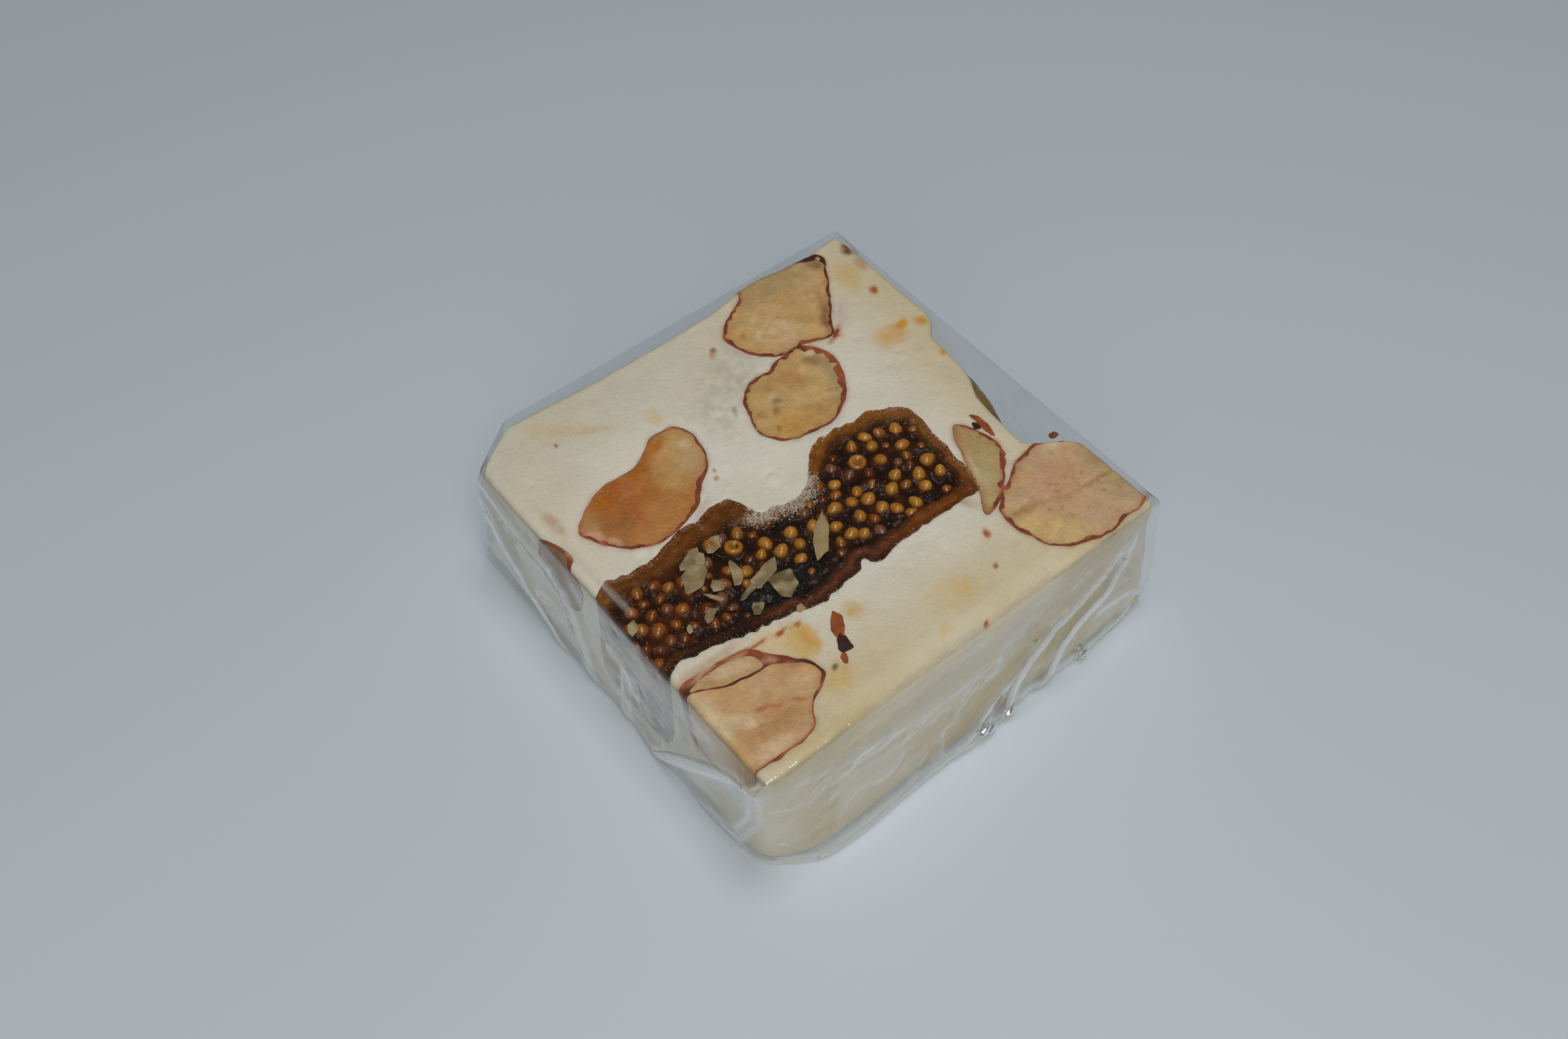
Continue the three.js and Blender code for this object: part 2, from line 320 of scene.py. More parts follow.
def food_material(name, fine, coarse, bump, gloss, flesh, reach, contrast=0.12, coat=0.0,
                  shine=0.5, dust_and_sparkle=None, clear=0.0):
    """A painted food surface: its colours come from the piece, and the nodes add what is finer.

    fine and coarse are the sizes of the two noises in mm, bump is the depth of the fine one in
    mm, gloss is the lowest and highest roughness, and flesh and reach say how much light goes in
    and how far. contrast is how much the noises darken and lighten it, shine how much it mirrors,
    coat how much syrup or oil lies over it, and clear how much of it can be seen through. dust is
    the colour of fine pale specks, which lie where the piece's own dust value says: partly real
    grains and froth, and partly painted highlights that stand for the sparkle of sugar.
    """
    material, tree = new_material(name)
    spot = add_node(tree, "ShaderNodeTexCoord").outputs["Object"]
    painted = add_node(tree, "ShaderNodeAttribute", attribute_name="tint").outputs["Color"]
    grain = add_node(tree, "ShaderNodeTexNoise", {
        "Vector": spot, "Scale": per_mm(fine), "Detail": 5.0, "Roughness": 0.6})
    cloud = add_node(tree, "ShaderNodeTexNoise", {
        "Vector": spot, "Scale": per_mm(coarse), "Detail": 3.0, "Roughness": 0.5})
    both = add_node(tree, "ShaderNodeMath", {0: grain.outputs["Fac"], 1: cloud.outputs["Fac"]})
    shade = add_node(tree, "ShaderNodeMapRange", {
        "Value": both.outputs[0], "From Min": 0.6, "From Max": 1.4,
        "To Min": 1 - contrast, "To Max": 1 + contrast})
    base = add_node(tree, "ShaderNodeVectorMath", {0: painted, 3: shade.outputs[0]},
                    operation="SCALE").outputs[0]
    if dust_and_sparkle:
        amount = add_node(tree, "ShaderNodeAttribute", attribute_name="dust_and_sparkle").outputs["Fac"]
        speck = add_node(tree, "ShaderNodeTexNoise", {
            "Vector": spot, "Scale": per_mm(0.14), "Detail": 2.0, "Roughness": 0.5})
        lace = add_node(tree, "ShaderNodeTexVoronoi", {"Vector": spot, "Scale": per_mm(0.5)},
                        feature="DISTANCE_TO_EDGE")
        strand = add_node(tree, "ShaderNodeMapRange", {
            "Value": lace.outputs["Distance"], "From Max": 0.2, "To Min": 0.24, "To Max": -0.04})
        frothy = add_node(tree, "ShaderNodeMath", {
            0: amount, 1: strand.outputs[0], 2: speck.outputs["Fac"]}, operation="MULTIPLY_ADD")
        heap = add_node(tree, "ShaderNodeMath", {
            0: amount, 1: 0.42, 2: frothy.outputs[0]}, operation="MULTIPLY_ADD")
        shown = add_node(tree, "ShaderNodeMapRange", {
            "Value": heap.outputs[0], "From Min": 0.74, "From Max": 0.84, "To Max": 0.85})
        base = add_node(tree, "ShaderNodeMixRGB", {
            "Fac": shown.outputs[0], "Color1": base, "Color2": colour(dust_and_sparkle)}).outputs[0]
    rough = add_node(tree, "ShaderNodeMapRange", {
        "Value": cloud.outputs["Fac"], "From Min": 0.3, "From Max": 0.7,
        "To Min": gloss[0], "To Max": gloss[1]})
    relief = add_node(tree, "ShaderNodeBump", {
        "Height": grain.outputs["Fac"], "Distance": bump * MM, "Strength": 1.0})
    shader = add_node(tree, "ShaderNodeBsdfPrincipled", {
        "Base Color": base, "Roughness": rough.outputs[0], "IOR": 1.46, "Specular IOR Level": shine,
        "Subsurface Weight": flesh, "Subsurface Radius": reach, "Subsurface Scale": MM,
        "Coat Weight": coat, "Coat Roughness": 0.12,
        "Transmission Weight": clear, "Normal": relief.outputs[0]})
    add_node(tree, "ShaderNodeOutputMaterial", {"Surface": shader.outputs[0]})
    return material


# Whipped sugar and egg white: a matt, close foam that light goes far into, so its shades are soft.
NOUGAT = food_material("whipped_nougat", fine=0.35, coarse=2.5, bump=0.09, gloss=(0.52, 0.72),
                       flesh=0.35, reach=(0.5, 0.4, 0.3), contrast=0.05, shine=0.35)
# A roasted kernel cut with a knife: dense and a little waxy, with light going just under the cut.
ALMOND = food_material("cut_almond", fine=0.3, coarse=1.4, bump=0.1, gloss=(0.3, 0.5),
                       flesh=0.3, reach=(0.5, 0.3, 0.15), contrast=0.14)
# The papery red-brown skin of an almond: thin, dry and finely creased.
ALMOND_SKIN = food_material("almond_skin", fine=0.18, coarse=0.8, bump=0.06, gloss=(0.45, 0.65),
                            flesh=0.1, reach=(0.3, 0.15, 0.1), contrast=0.3, shine=0.3)
# Dried fig: leathery rind and sticky pulp, dark, with a wet shine and a dust of sugar grains, whose pale
# specks also stand for its sparkle as painted highlights.
FIG = food_material("dried_fig_flesh", fine=0.24, coarse=0.9, bump=0.14, gloss=(0.3, 0.5),
                    flesh=0.1, reach=(0.4, 0.2, 0.1), contrast=0.5, coat=0.12, shine=0.1,
                    dust_and_sparkle="#D8C6B4")
# Fig seeds: hard, golden and smooth, under a film of syrup.
FIG_SEED = food_material("fig_seed", fine=0.25, coarse=0.7, bump=0.015, gloss=(0.12, 0.25),
                         flesh=0.25, reach=(0.4, 0.2, 0.1), contrast=0.3, coat=0.5, shine=0.3)
# Flakes of dried sugar and nut skin: pale, horny and half clear.
FLAKE = food_material("sugar_flake", fine=0.3, coarse=1.0, bump=0.06, gloss=(0.35, 0.5),
                      flesh=0.2, reach=(0.4, 0.3, 0.2), contrast=0.2, clear=0.3)
# A sultana: olive-brown, finely wrinkled skin over half clear flesh.
SULTANA = food_material("sultana_skin", fine=0.6, coarse=2.0, bump=0.15, gloss=(0.3, 0.5),
                        flesh=0.45, reach=(2.0, 1.2, 0.3), contrast=0.25, coat=0.1)


# ---- The pack's shape ----
def stations(low, high, step, edge_run, edge_step):
    """Places from low to high about step apart, and edge_step apart near both ends."""
    ends = np.arange(0, edge_run, edge_step)
    count = round((high - low - 2 * edge_run) / step) + 1
    return np.concatenate([low + ends, np.linspace(low + edge_run, high - edge_run, count),
                           (high - ends)[::-1]])


def lattice_box(xs, ys, zs):
    """The skin of a box as one closed mesh of four-sided faces, with lines at the given places."""
    ends = [len(a) - 1 for a in (xs, ys, zs)]
    corners = []
    for axis in range(3):
        u, v = [k for k in range(3) if k != axis]
        for far in (0, 1):
            grid = np.indices((ends[u], ends[v])).reshape(2, -1).T
            turn = [(0, 0), (1, 0), (1, 1), (0, 1)]
            outward = bool(far) != (axis == 1)
            for du, dv in turn if outward else turn[::-1]:
                corner = np.zeros((len(grid), 3), int)
                corner[:, u] = grid[:, 0] + du
                corner[:, v] = grid[:, 1] + dv
                corner[:, axis] = far * ends[axis]
                corners.append(corner)
    quads = np.concatenate([np.stack(corners[i:i + 4], axis=1) for i in range(0, len(corners), 4)])
    places, index = np.unique(quads.reshape(-1, 3), axis=0, return_inverse=True)
    points = np.column_stack([a[places[:, k]] for k, a in enumerate((xs, ys, zs))])
    return points, index.reshape(-1, 4)


def rounded(points, low, high, radius):
    """The points of a box's skin moved onto its rounded edges, and the direction out of it there."""
    core = np.clip(points, low + radius, high - radius)
    out = points - core
    out /= np.linalg.norm(out, axis=1, keepdims=True)
    return core + out * radius, out


def cut_corners(points, share, inset):
    """Moves what lies past the cut corners onto their cuts, with a soft bend beside each."""
    moved = points.copy()
    for foot, top, bend in CUT_CORNERS:
        ends = foot[None] * (1 - share)[:, None, None] + top[None] * share[:, None, None]
        along = ends[:, 1] - ends[:, 0]
        along /= np.linalg.norm(along, axis=1, keepdims=True)
        out = np.column_stack([along[:, 1], -along[:, 0]])
        past = np.sum((moved[:, :2] - ends[:, 0]) * out, axis=1) + inset
        soft = 0.5 * (past + np.sqrt(past ** 2 + bend ** 2 * (0.1 + 0.9 * (1 - share))))
        moved[:, :2] -= out * soft[:, None]
    return moved


def pack_form(step, upright_step, edge_step, inset, low_z, high_z, radius):
    """The pack's shape lying inset within its sides: points, faces and the directions outwards."""
    reach = FILM_BACK_RIGHT
    side = stations(-reach + inset, reach - inset, step, radius * 1.3, edge_step)
    height = stations(low_z, high_z, upright_step, radius * 1.3, edge_step)
    points, faces = lattice_box(side, side, height)
    low, high = np.array([side[0], side[0], low_z]), np.array([side[-1], side[-1], high_z])
    points, out = rounded(points, low, high, radius)
    share = np.clip(points[:, 2] / FILM_TOP, 0, 1)
    u, v = (points[:, :2] / (reach - inset) + 1).T / 2
    weights = np.column_stack([(1 - u) * (1 - v), u * (1 - v), u * v, (1 - u) * v])
    straight = reach * np.array([[-1, -1], [1, -1], [1, 1], [-1, 1]])
    shift_foot, shift_top = weights @ (FOOT_CORNERS - straight), weights @ (TOP_CORNERS - straight)
    points[:, :2] += shift_foot * (1 - share)[:, None] + shift_top * share[:, None]
    return cut_corners(points, share, inset), faces, out


def round_edge(points, axis, edge, edge_z, radius, weight):
    """Rounds the front (axis 1) or left (axis 0) edge at a height, as far as weight says."""
    side = 1 if edge_z > FILM_TOP / 2 else -1
    off_side, off_z = points[:, axis] - (edge + radius), points[:, 2] - (edge_z - side * radius)
    length = np.hypot(off_side, off_z)
    corner = (off_side < 0) & (off_z * side > 0) & (length > radius)
    scale = 1 + (np.where(corner, radius / np.maximum(length, 1e-9), 1) - 1) * weight
    moved = points.copy()
    moved[:, axis] = edge + radius + off_side * scale
    moved[:, 2] = edge_z - side * radius + off_z * scale
    return moved


HOLLOW = np.array([  # how deep the right side is torn in, from front to back
    [-11.6, 0], [-10.6, 0.9], [-9.6, 2.6], [-8.6, 3.8], [-7, 3.75], [-4.5, 3.6], [-2.5, 3.3],
    [-1, 2.5], [1, 1.9], [3, 1.8], [5, 1.6], [6.6, 0.3], [8, 0]])
BACK_EDGE = np.array([  # how far the back edge draws in, from left to right
    [-19, 0.1], [-14, 0.3], [-8, 0.7], [0, 0.75], [5, 0.6], [7, 0.3], [8.6, -0.1], [11.5, -0.15],
    [13.5, 0.2], [16, 0.4], [18, 0.2], [20, 0]])
FRONT_EDGE_RADIUS = 2.3
FRONT_FOOT_RADIUS = 1.1
LEFT_FOOT_RADIUS = 0.9
FILM_FOOT_RADIUS = 1.0


def nougat_form():
    """The block's fine mesh before anything is set in it, with the directions out of it."""
    points, faces, out = pack_form(step=0.225, upright_step=0.34, edge_step=0.16, inset=0.3,
                                   low_z=NOUGAT_FOOT, high_z=NOUGAT_TOP, radius=0.6)
    x, y, z = points.T
    hollow = np.interp(y, *HOLLOW.T) * ramp(x, 8, 19.3) * (0.35 + 0.65 * ramp(z, 0, 6))
    points[:, 0] -= hollow
    points[:, 1] -= np.interp(x, *BACK_EDGE.T) * ramp(y, 8, 19)
    soft = ramp(x, -14.5, -11) * (1 - ramp(x, 8, 11)) * 0.85 + 0.15
    points = round_edge(points, 1, -20.1, NOUGAT_TOP, FRONT_EDGE_RADIUS, soft)
    points = round_edge(points, 1, -21.9, NOUGAT_FOOT, FRONT_FOOT_RADIUS, 1.0)
    return round_edge(points, 0, -20.8, NOUGAT_FOOT, LEFT_FOOT_RADIUS, 1.0), faces, out


# ---- What is set in the nougat ----
def waved(loop, depth, size, seed):
    """An outline that wavers in and out a little, as a torn or knife-cut edge does."""
    flat = np.column_stack([loop, np.zeros(len(loop))])
    return loop + outwards(loop) * (depth * noise(flat, size, seed))[:, None]


FIG_OUTLINE = smooth_loop([
    (-23, 1.2), (-20.4, 1.1), (-19.2, 1.6), (-17.6, 1.5), (-15.8, 1.1), (-14, 1.3), (-12.4, 1.4),
    (-11, 2), (-9.6, 1.8), (-8.2, 2.4), (-7, 2.2), (-6.2, 1.3), (-6, 0.1), (-5.1, -0.7),
    (-3.6, -0.9), (-2.1, -1.4), (-0.6, -0.9), (0.5, 0.2), (1.5, 1.3), (2.8, 2.1), (4.8, 2.3),
    (7, 2), (9, 1.7), (10.5, 0.9), (11, -0.2), (11.1, -2.2), (10.9, -5), (10.5, -7.8),
    (9.9, -9.6), (8.5, -10.1), (6, -9.8), (4, -9.9), (1, -10.2), (-1, -10.4), (-2, -9.3),
    (-3, -9.8), (-5, -10.2), (-7, -10.5), (-9, -10), (-11, -9.6), (-14, -9), (-17, -8.3),
    (-19, -8), (-20.6, -8.8), (-23, -9)], 460)
FIG_OUTLINE = waved(waved(FIG_OUTLINE, 0.26, 1.6, 15), 0.16, 0.55, 16)

# For each almond: its outline at the cut top, how deep it goes, and how thick its skin shows, as
# pairs of a direction from its middle in degrees and a thickness.
ALMONDS = {
    "almond_back": dict(depth=6.4, outline=[
        (15.9, 19.5), (16.9, 19.1), (17.1, 18.2), (16.5, 17.2), (15.8, 16.0), (14.3, 13.9),
        (12.9, 12.1), (11.8, 10.6), (10, 10.9), (8.5, 11.3), (7.4, 11.2), (6.1, 11.7), (5.1, 12.7),
        (4.5, 13.7), (4.2, 15), (4.15, 16.2), (5.2, 17.3), (6.8, 18.3), (8.2, 19.2), (9.5, 22),
        (14.5, 22)],
        skin=[(-180, 0.18), (-140, 0.22), (-110, 0.2), (-80, 0.28), (-60, 0.12), (-20, 0.12),
              (5, 0.2), (25, 0.7), (40, 0.95), (55, 0.5), (70, 0.0), (125, 0.0), (140, 0.2)]),
    "almond_round": dict(depth=5.4, outline=[
        (0.5, 8.4), (1.1, 9.6), (2.3, 10.6), (3.4, 10.8), (4.6, 10.7), (5.7, 11.1), (7, 11.3),
        (8.3, 11.4), (9.4, 10.7), (10.05, 9.3), (10.05, 8.1), (9.7, 6.8), (9, 5.6), (8.3, 4.7),
        (7.1, 3.8), (5.5, 3.0), (4, 3.0), (2.6, 3.25), (1.1, 3.7), (0.2, 4.7), (-0.2, 5.9),
        (0.1, 7.2)],
        skin=[(-170, 0.16), (-130, 0.14), (-80, 0.12), (-45, 0.22), (-10, 0.42), (20, 0.5),
              (45, 0.4), (60, 0.3), (90, 0.12), (120, 0.18), (150, 0.22)]),
    "almond_left": dict(depth=6.0, outline=[
        (-17.7, 6.3), (-17.5, 7.1), (-16.6, 7.9), (-14.9, 8.9), (-13.2, 9.4), (-11.9, 9.3),
        (-10.6, 9.35), (-9.4, 9.8), (-8.2, 10.7), (-7.2, 11.1), (-6.2, 11.05), (-5.2, 10.8),
        (-4.65, 9.9), (-4.6, 8.7), (-4.9, 7.2), (-5.4, 6.1), (-6.4, 5.1), (-7.6, 4.2), (-8.6, 3.1),
        (-9.8, 2.5), (-11.2, 2.2), (-12.8, 1.9), (-14.2, 2.2), (-15.5, 3), (-16.8, 4.5)],
        skin=[(-175, 0.1), (-160, 0.28), (-140, 0.25), (-115, 0.12), (-95, 0.1), (-70, 0.2),
              (-45, 0.22), (-22, 0.24), (-10, 0.1), (10, 0.08), (35, 0.1), (50, 0.0), (178, 0.0)]),
    "almond_right": dict(depth=7.4, outline=[
        (9.3, -13.9), (9.7, -12.6), (10.4, -11.9), (11.4, -11.2), (12.4, -10.8), (13.2, -10.2),
        (14.4, -9.7), (15.8, -9.5), (17, -9.35), (18.3, -9.6), (18.9, -10.3), (19.9, -11.1),
        (22.4, -12.3), (22.4, -18.2), (20.2, -18.9), (18.6, -19.5), (17.4, -19.4), (15.6, -19.7),
        (13.8, -19.5), (12.3, -19), (11.2, -18.5), (10.4, -17.7), (9.9, -16.4), (9.4, -15.1)],
        skin=[(-170, 0.18), (-120, 0.16), (-70, 0.1), (-30, 0.16), (0, 0.0), (50, 0.0),
              (62, 0.35), (75, 0.2), (120, 0.14), (160, 0.22)]),
    "almond_sliver": dict(depth=4.0, outline=[
        (12.2, -4.3), (12.7, -3.7), (13.2, -3.9), (13.8, -4.9), (14.2, -6.1), (14.35, -7.4),
        (13.8, -8.8), (12.6, -10.1), (11.4, -11.2), (10, -12), (8.6, -12.35), (8.8, -11.5),
        (9.7, -10.1), (10.5, -8.3), (11.2, -6.4)],
        skin=[(-180, 0.0), (-125, 0.0), (-112, 0.22), (-60, 0.2), (0, 0.2), (50, 0.12), (70, 0.0)]),
}
FRONT_ALMOND = dict(depth=6.4, outline=[
    (-22.6, -9.7), (-20.6, -9.6), (-19, -9.5), (-17, -9.6), (-15.4, -9.9), (-14.1, -10.3),
    (-13.3, -11.3), (-12.2, -12.7), (-11.1, -14.0), (-10.95, -15.4), (-11.8, -16.2),
    (-12.7, -16.6), (-13.6, -17.3), (-14.4, -18.4), (-15.7, -18.9), (-17, -18.9), (-18.3, -19),
    (-20.3, -18.8), (-22.6, -18.7)])
FRONT_KERNELS = {
    "almond_front": [
        (-22.6, -10.6), (-20.4, -10.55), (-19.2, -10.95), (-17.6, -11.75), (-16.2, -12.05),
        (-14.8, -12.3), (-13.6, -12.4), (-12.5, -13.2), (-11.4, -14.1), (-11.2, -15.3), (-12, -16),
        (-13, -16.55), (-13.85, -17.5), (-14.6, -18.5), (-15.7, -18.75), (-17, -18.78),
        (-20.3, -18.68), (-22.6, -18.5)],
    "almond_front_half": [
        (-19.8, -10.45), (-18.6, -10.05), (-16.8, -10.1), (-15, -10.4), (-14.2, -11),
        (-14.1, -11.9), (-14.8, -12.08), (-16.2, -11.84), (-17.6, -11.55), (-18.9, -10.9)],
}
SIDE_ALMOND = dict(middle=(-20.4, 6.6, 9.95), half=(1.5, 4.4, 3.55), turn=20, skin=0.3)
SULTANA_FORM = dict(middle=(16.9, -1.2, 9.3), half=(1.75, 6.6, 3.7), turn=-10)


def skin_thickness(loop, knots):
    """How thick the skin shows at each point of an outline, wavering along it."""
    middle = loop.mean(axis=0)
    angle = np.degrees(np.arctan2(*(loop - middle).T[::-1]))
    degrees, thick = np.array(knots, float).T
    plain = np.interp(angle, degrees, thick, period=360)
    flat = np.column_stack([loop, np.zeros(len(loop))])
    wander = noise(flat, 0.45, 41) + 0.6 * noise(flat, 1.3, 42)
    return np.maximum((1.15 * plain + 0.06 * (plain > 0)) * (1 + 0.7 * wander), 0)


def pebble_rings(loop, depth, flat_top):
    """Rings of a body that is cut flat at the top and rounds off below like half a pebble."""
    middle = loop.mean(axis=0)
    rings = []
    for share in (0.9, 0.75, 0.58, 0.4, 0.22, 0.08, 0):
        angle = share * math.pi / 2
        shrink = 1 - math.cos(angle) ** 0.7
        rings.append((loop + (middle - loop) * shrink, NOUGAT_TOP - depth * math.sin(angle)))
    return [*rings, (loop, flat_top)]


def ball(name, middle, half, turn, grown=0.0, rings=36):
    """A ball drawn out along its three axes and turned about Z."""
    builder = bmesh.new()
    bmesh.ops.create_uvsphere(builder, u_segments=2 * rings, v_segments=rings, radius=1)
    mesh = bpy.data.meshes.new(name)
    builder.to_mesh(mesh)
    builder.free()
    made = linked(name, mesh)
    x, y, z = (points_of(made) * (np.array(half) + grown)).T
    angle = math.radians(turn)
    turned = [x * math.cos(angle) - y * math.sin(angle), x * math.sin(angle) + y * math.cos(angle), z]
    move_points(made, np.column_stack(turned) + np.array(middle))
    return made


FLAT_TOP = FILM_TOP + 3


# ---- Where the fig's rind ends and its seeds lie ----
def fig_depths(points):
    """How far in from the fig's outline each point lies, and how wide the rind is there."""
    depth = inside_depth(points[:, :2], FIG_OUTLINE)
    x, y = points[:, 0], points[:, 1]
    width = 0.75 + 0.9 * ramp(-x, -2, 6) * ramp(y, -3, 0) + 0.8 * ramp(-y, 6.5, 9)
    width += 0.35 * ramp(y, -1, 1) + 0.3 * noise(points, 1.3, 51)
    return depth, width


SEEDS_SHOWN = [  # the brightest seeds: place and size
    (4.2, -1.5, 1.6), (5.9, -2.4, 1.4), (9.0, -0.8, 1.45), (8.4, -2.4, 1.4), (8.9, -4.8, 1.5),
    (7.3, -5.6, 1.4), (6.3, -0.9, 1.35), (6.4, 0.2, 1.25), (5.7, -4.4, 1.25), (2.4, -4.9, 1.45),
    (2.8, -6.2, 1.35), (1.2, -4.3, 1.3), (-0.2, -3.9, 1.4), (1.2, -2.1, 1.2), (4.6, -5.3, 1.35),
    (-0.8, -6.7, 1.3), (8.9, -6.4, 1.25), (-4.6, -3.6, 1.45), (-6.8, -3.1, 1.5), (-6.3, -4.5, 1.5),
    (-9.6, -4.3, 1.4), (-9.0, -1.9, 1.55), (-10.4, -0.5, 1.3), (-15.3, -1.7, 1.25),
    (-17.5, -0.6, 1.25), (-15.6, -4.0, 1.3), (-18.2, -4.4, 1.5), (-19.2, -3.6, 1.3),
    (-18.9, -1.8, 1.3), (-2.8, -4.2, 1.25), (-4.7, -4.9, 1.2), (-5.6, -6.1, 1.3), (3.6, -7.1, 1.3),
    (5.2, -7.6, 1.3), (0.8, -5.8, 1.3), (6.9, -6.8, 1.35), (-0.1, -7.3, 1.2), (-1.4, -5.4, 1.2)]
CUT_SEEDS = [  # seeds the knife went through
    (4.2, -1.5), (-9.0, -1.9)]


def fill_seeds(rng, tries=4200, spacing=0.88):
    """The seeds that show, and further ones in the pulp wherever one fits between the others."""
    placed = [np.array(p, float) for p in SEEDS_SHOWN]
    for x, y in zip(rng.uniform(-20, 10.5, tries), rng.uniform(-9, 1.5, tries)):
        size = rng.uniform(1.02, 1.38)
        if all(math.hypot(x - p[0], y - p[1]) > spacing * (size + p[2]) / 2 for p in placed):
            placed.append(np.array([x, y, size]))
    placed = np.array(placed)
    depth, width = fig_depths(np.column_stack([placed[:, :2], np.full(len(placed), NOUGAT_TOP)]))
    x, y, _ = placed.T
    in_dark_band = (y < -5.4) & (x > -13) & (x < -3)
    further = np.arange(len(placed)) >= len(SEEDS_SHOWN)
    thinned = in_dark_band & (rng.random(len(placed)) < 0.6) & further
    return placed[(depth > width + 0.2) & ~thinned]


rng = np.random.default_rng(7)
seeds = fill_seeds(rng)


def near_seeds(points, reach):
    """1 at a seed's middle, falling to 0 past its edge, seen from above."""
    near = np.zeros(len(points))
    for x, y, size in seeds:
        away = np.hypot(points[:, 0] - x, points[:, 1] - y) / (size / 2 * reach)
        near = np.maximum(near, np.exp(-away ** 4))
    return near


# ---- Relief of the cut surface ----
def cut_relief(points):
    """How far each point of the block's skin stands out, before the pieces are parted."""
    x, y, z = points.T
    on_top = ramp(z, NOUGAT_TOP - 1.2, NOUGAT_TOP - 0.4)
    height = 0.06 * noise(points, 5.5, 1) + 0.03 * noise(points, 1.7, 2) + 0.022 * noise(points, 0.6, 3)
    height += (1 - on_top) * (0.12 * noise(points, 3.2, 4) + 0.05 * noise(points, 1.0, 5) - 0.12)
    rough = blob(points, 2.2, 12.6, 2.0, 1.5, 70) + 0.8 * blob(points, 13, 4, 2.2, 1.3, 20)
    rough += 0.6 * blob(points, -2, 9.5, 1.6, 2.0, 80) + 0.5 * blob(points, 1, -11, 0.6, 8, 0)
    height -= on_top * rough * (0.06 + 0.16 * np.abs(noise(points, 0.55, 6)))
    height -= 0.10 * on_top * ramp(noise(points, 2.4, 8), 0.45, 0.9)
    for px, py, radius, rise in BUBBLES:
        height += on_top * rise * blob(points, px, py, radius) ** 0.6
        rim = np.hypot(x - px, y - py) - 1.25 * radius
        height -= on_top * 0.7 * max(rise, 0) * np.exp(-(rim / 0.2) ** 2)
    kernel = np.zeros(len(points))
    for loop in KERNEL_LOOPS:
        depth = inside_depth(points[:, :2], loop)
        kernel = np.maximum(kernel, ramp(depth, -0.1, 0.15))
        height -= on_top * 0.03 * np.exp(-((depth + 0.22) / 0.2) ** 2)
    cut = -0.03 + 0.035 * noise(points, 1.8, 9) + 0.02 * noise(points, 0.45, 10)
    for line, deep, wide in SCRATCHES:
        cut -= deep * np.exp(-(line_distance(points[:, :2], line) / wide) ** 2)
    height += (cut - height) * kernel * on_top
    depth, width = fig_depths(points)
    in_fig = ramp(depth, -0.05, 0.3) * ramp(z, FIG_FLOOR, FIG_FLOOR + 1.5)
    rind = -0.16 + 0.14 * noise(points, 0.9, 11) + 0.1 * noise(points, 0.45, 12)
    pulp = -0.6 + 0.2 * noise(points, 1.1, 13) + 0.12 * noise(points, 0.5, 14)
    pulp += 0.22 * near_seeds(points, 1.35)
    flesh = rind + (pulp - rind) * ramp(depth, width, width + 0.5)
    return height + (flesh - height) * in_fig


BUBBLES = [  # small domes and pits of the foam: place, radius and height
    (-2.4, 1.3, 0.6, 0.2), (-15, 2.3, 0.6, 0.14), (14.7, 4.9, 0.5, 0.12), (12, 4.3, 1.2, 0.06),
    (-13.9, 13.5, 0.32, 0.1), (-5.7, 3.9, 0.5, -0.1), (-3.2, 11, 0.3, -0.12), (8.5, -15.5, 0.3, -0.1),
    (-6.3, -16.8, 0.25, -0.1), (13.3, 8.8, 0.3, -0.12), (-18, 13.2, 0.3, -0.1), (3.6, -13, 0.22, -0.1)]
SCRATCHES = [  # cracks and knife marks across the kernels: line, depth and width
    ([(9.8, -14.2), (12.5, -13.9), (15.5, -14.9), (20.5, -15.3)], 0.10, 0.16),
    ([(-19, -15.2), (-16.5, -16.3), (-14.2, -16.2), (-12, -15.4)], 0.06, 0.14),
    ([(2.0, 7.6), (3.6, 6.6), (5.3, 5.6), (7.8, 5.0)], 0.08, 0.16),
    ([(4.2, 8.6), (5.2, 7.0), (6.2, 5.0)], 0.05, 0.12),
    ([(6.8, 14.6), (8.2, 13.6), (9.6, 13.3)], 0.06, 0.18),
    ([(-13.2, 5.4), (-12.7, 4.0), (-13.3, 2.8)], 0.05, 0.14),
    ([(12.7, 11.8), (13.7, 14.2), (14.9, 17.2)], 0.05, 0.2)]
almond_loops = {name: waved(smooth_loop(spec["outline"]), 0.09, 0.7, 21 + i)
                for i, (name, spec) in enumerate(ALMONDS.items())}
front_loop = waved(smooth_loop(FRONT_ALMOND["outline"]), 0.1, 0.7, 31)
KERNEL_LOOPS = [*almond_loops.values(), front_loop]


# ---- Colours of the pieces ----
TONES = {  # what a stain, a mark or a bit of skin is coloured like
    "cream": "#E8D0A6", "straw": "#DFC07E", "honey": "#DFA644", "amber": "#BC7012",
    "peach": "#DCAA80", "tan": "#BE8648", "rust": "#B8622E", "brown": "#8A5430",
    "bark": "#4A241A", "drab": "#BCA274", "olive": "#96824E", "blush": "#DCC4BC"}


def spotted(points, colours, spots, seed, ragged=0.4):
    """The colours with ragged spots: tone, strength, place, radius, stretch and turn."""
    uneven = 1 + ragged * noise(points, 0.6, seed)
    torn = points.copy()
    for axis in (0, 1):
        torn[:, axis] += 0.22 * noise(points, 0.9, seed + 100 + axis)
        torn[:, axis] += 0.1 * noise(points, 0.35, seed + 110 + axis)
    for tone, strength, *where in spots:
        near = 1.35 * blob(torn, *where)
        colours = tinted(colours, strength * uneven * near ** 2 / (near ** 2 + 0.25), TONES[tone])
    return colours


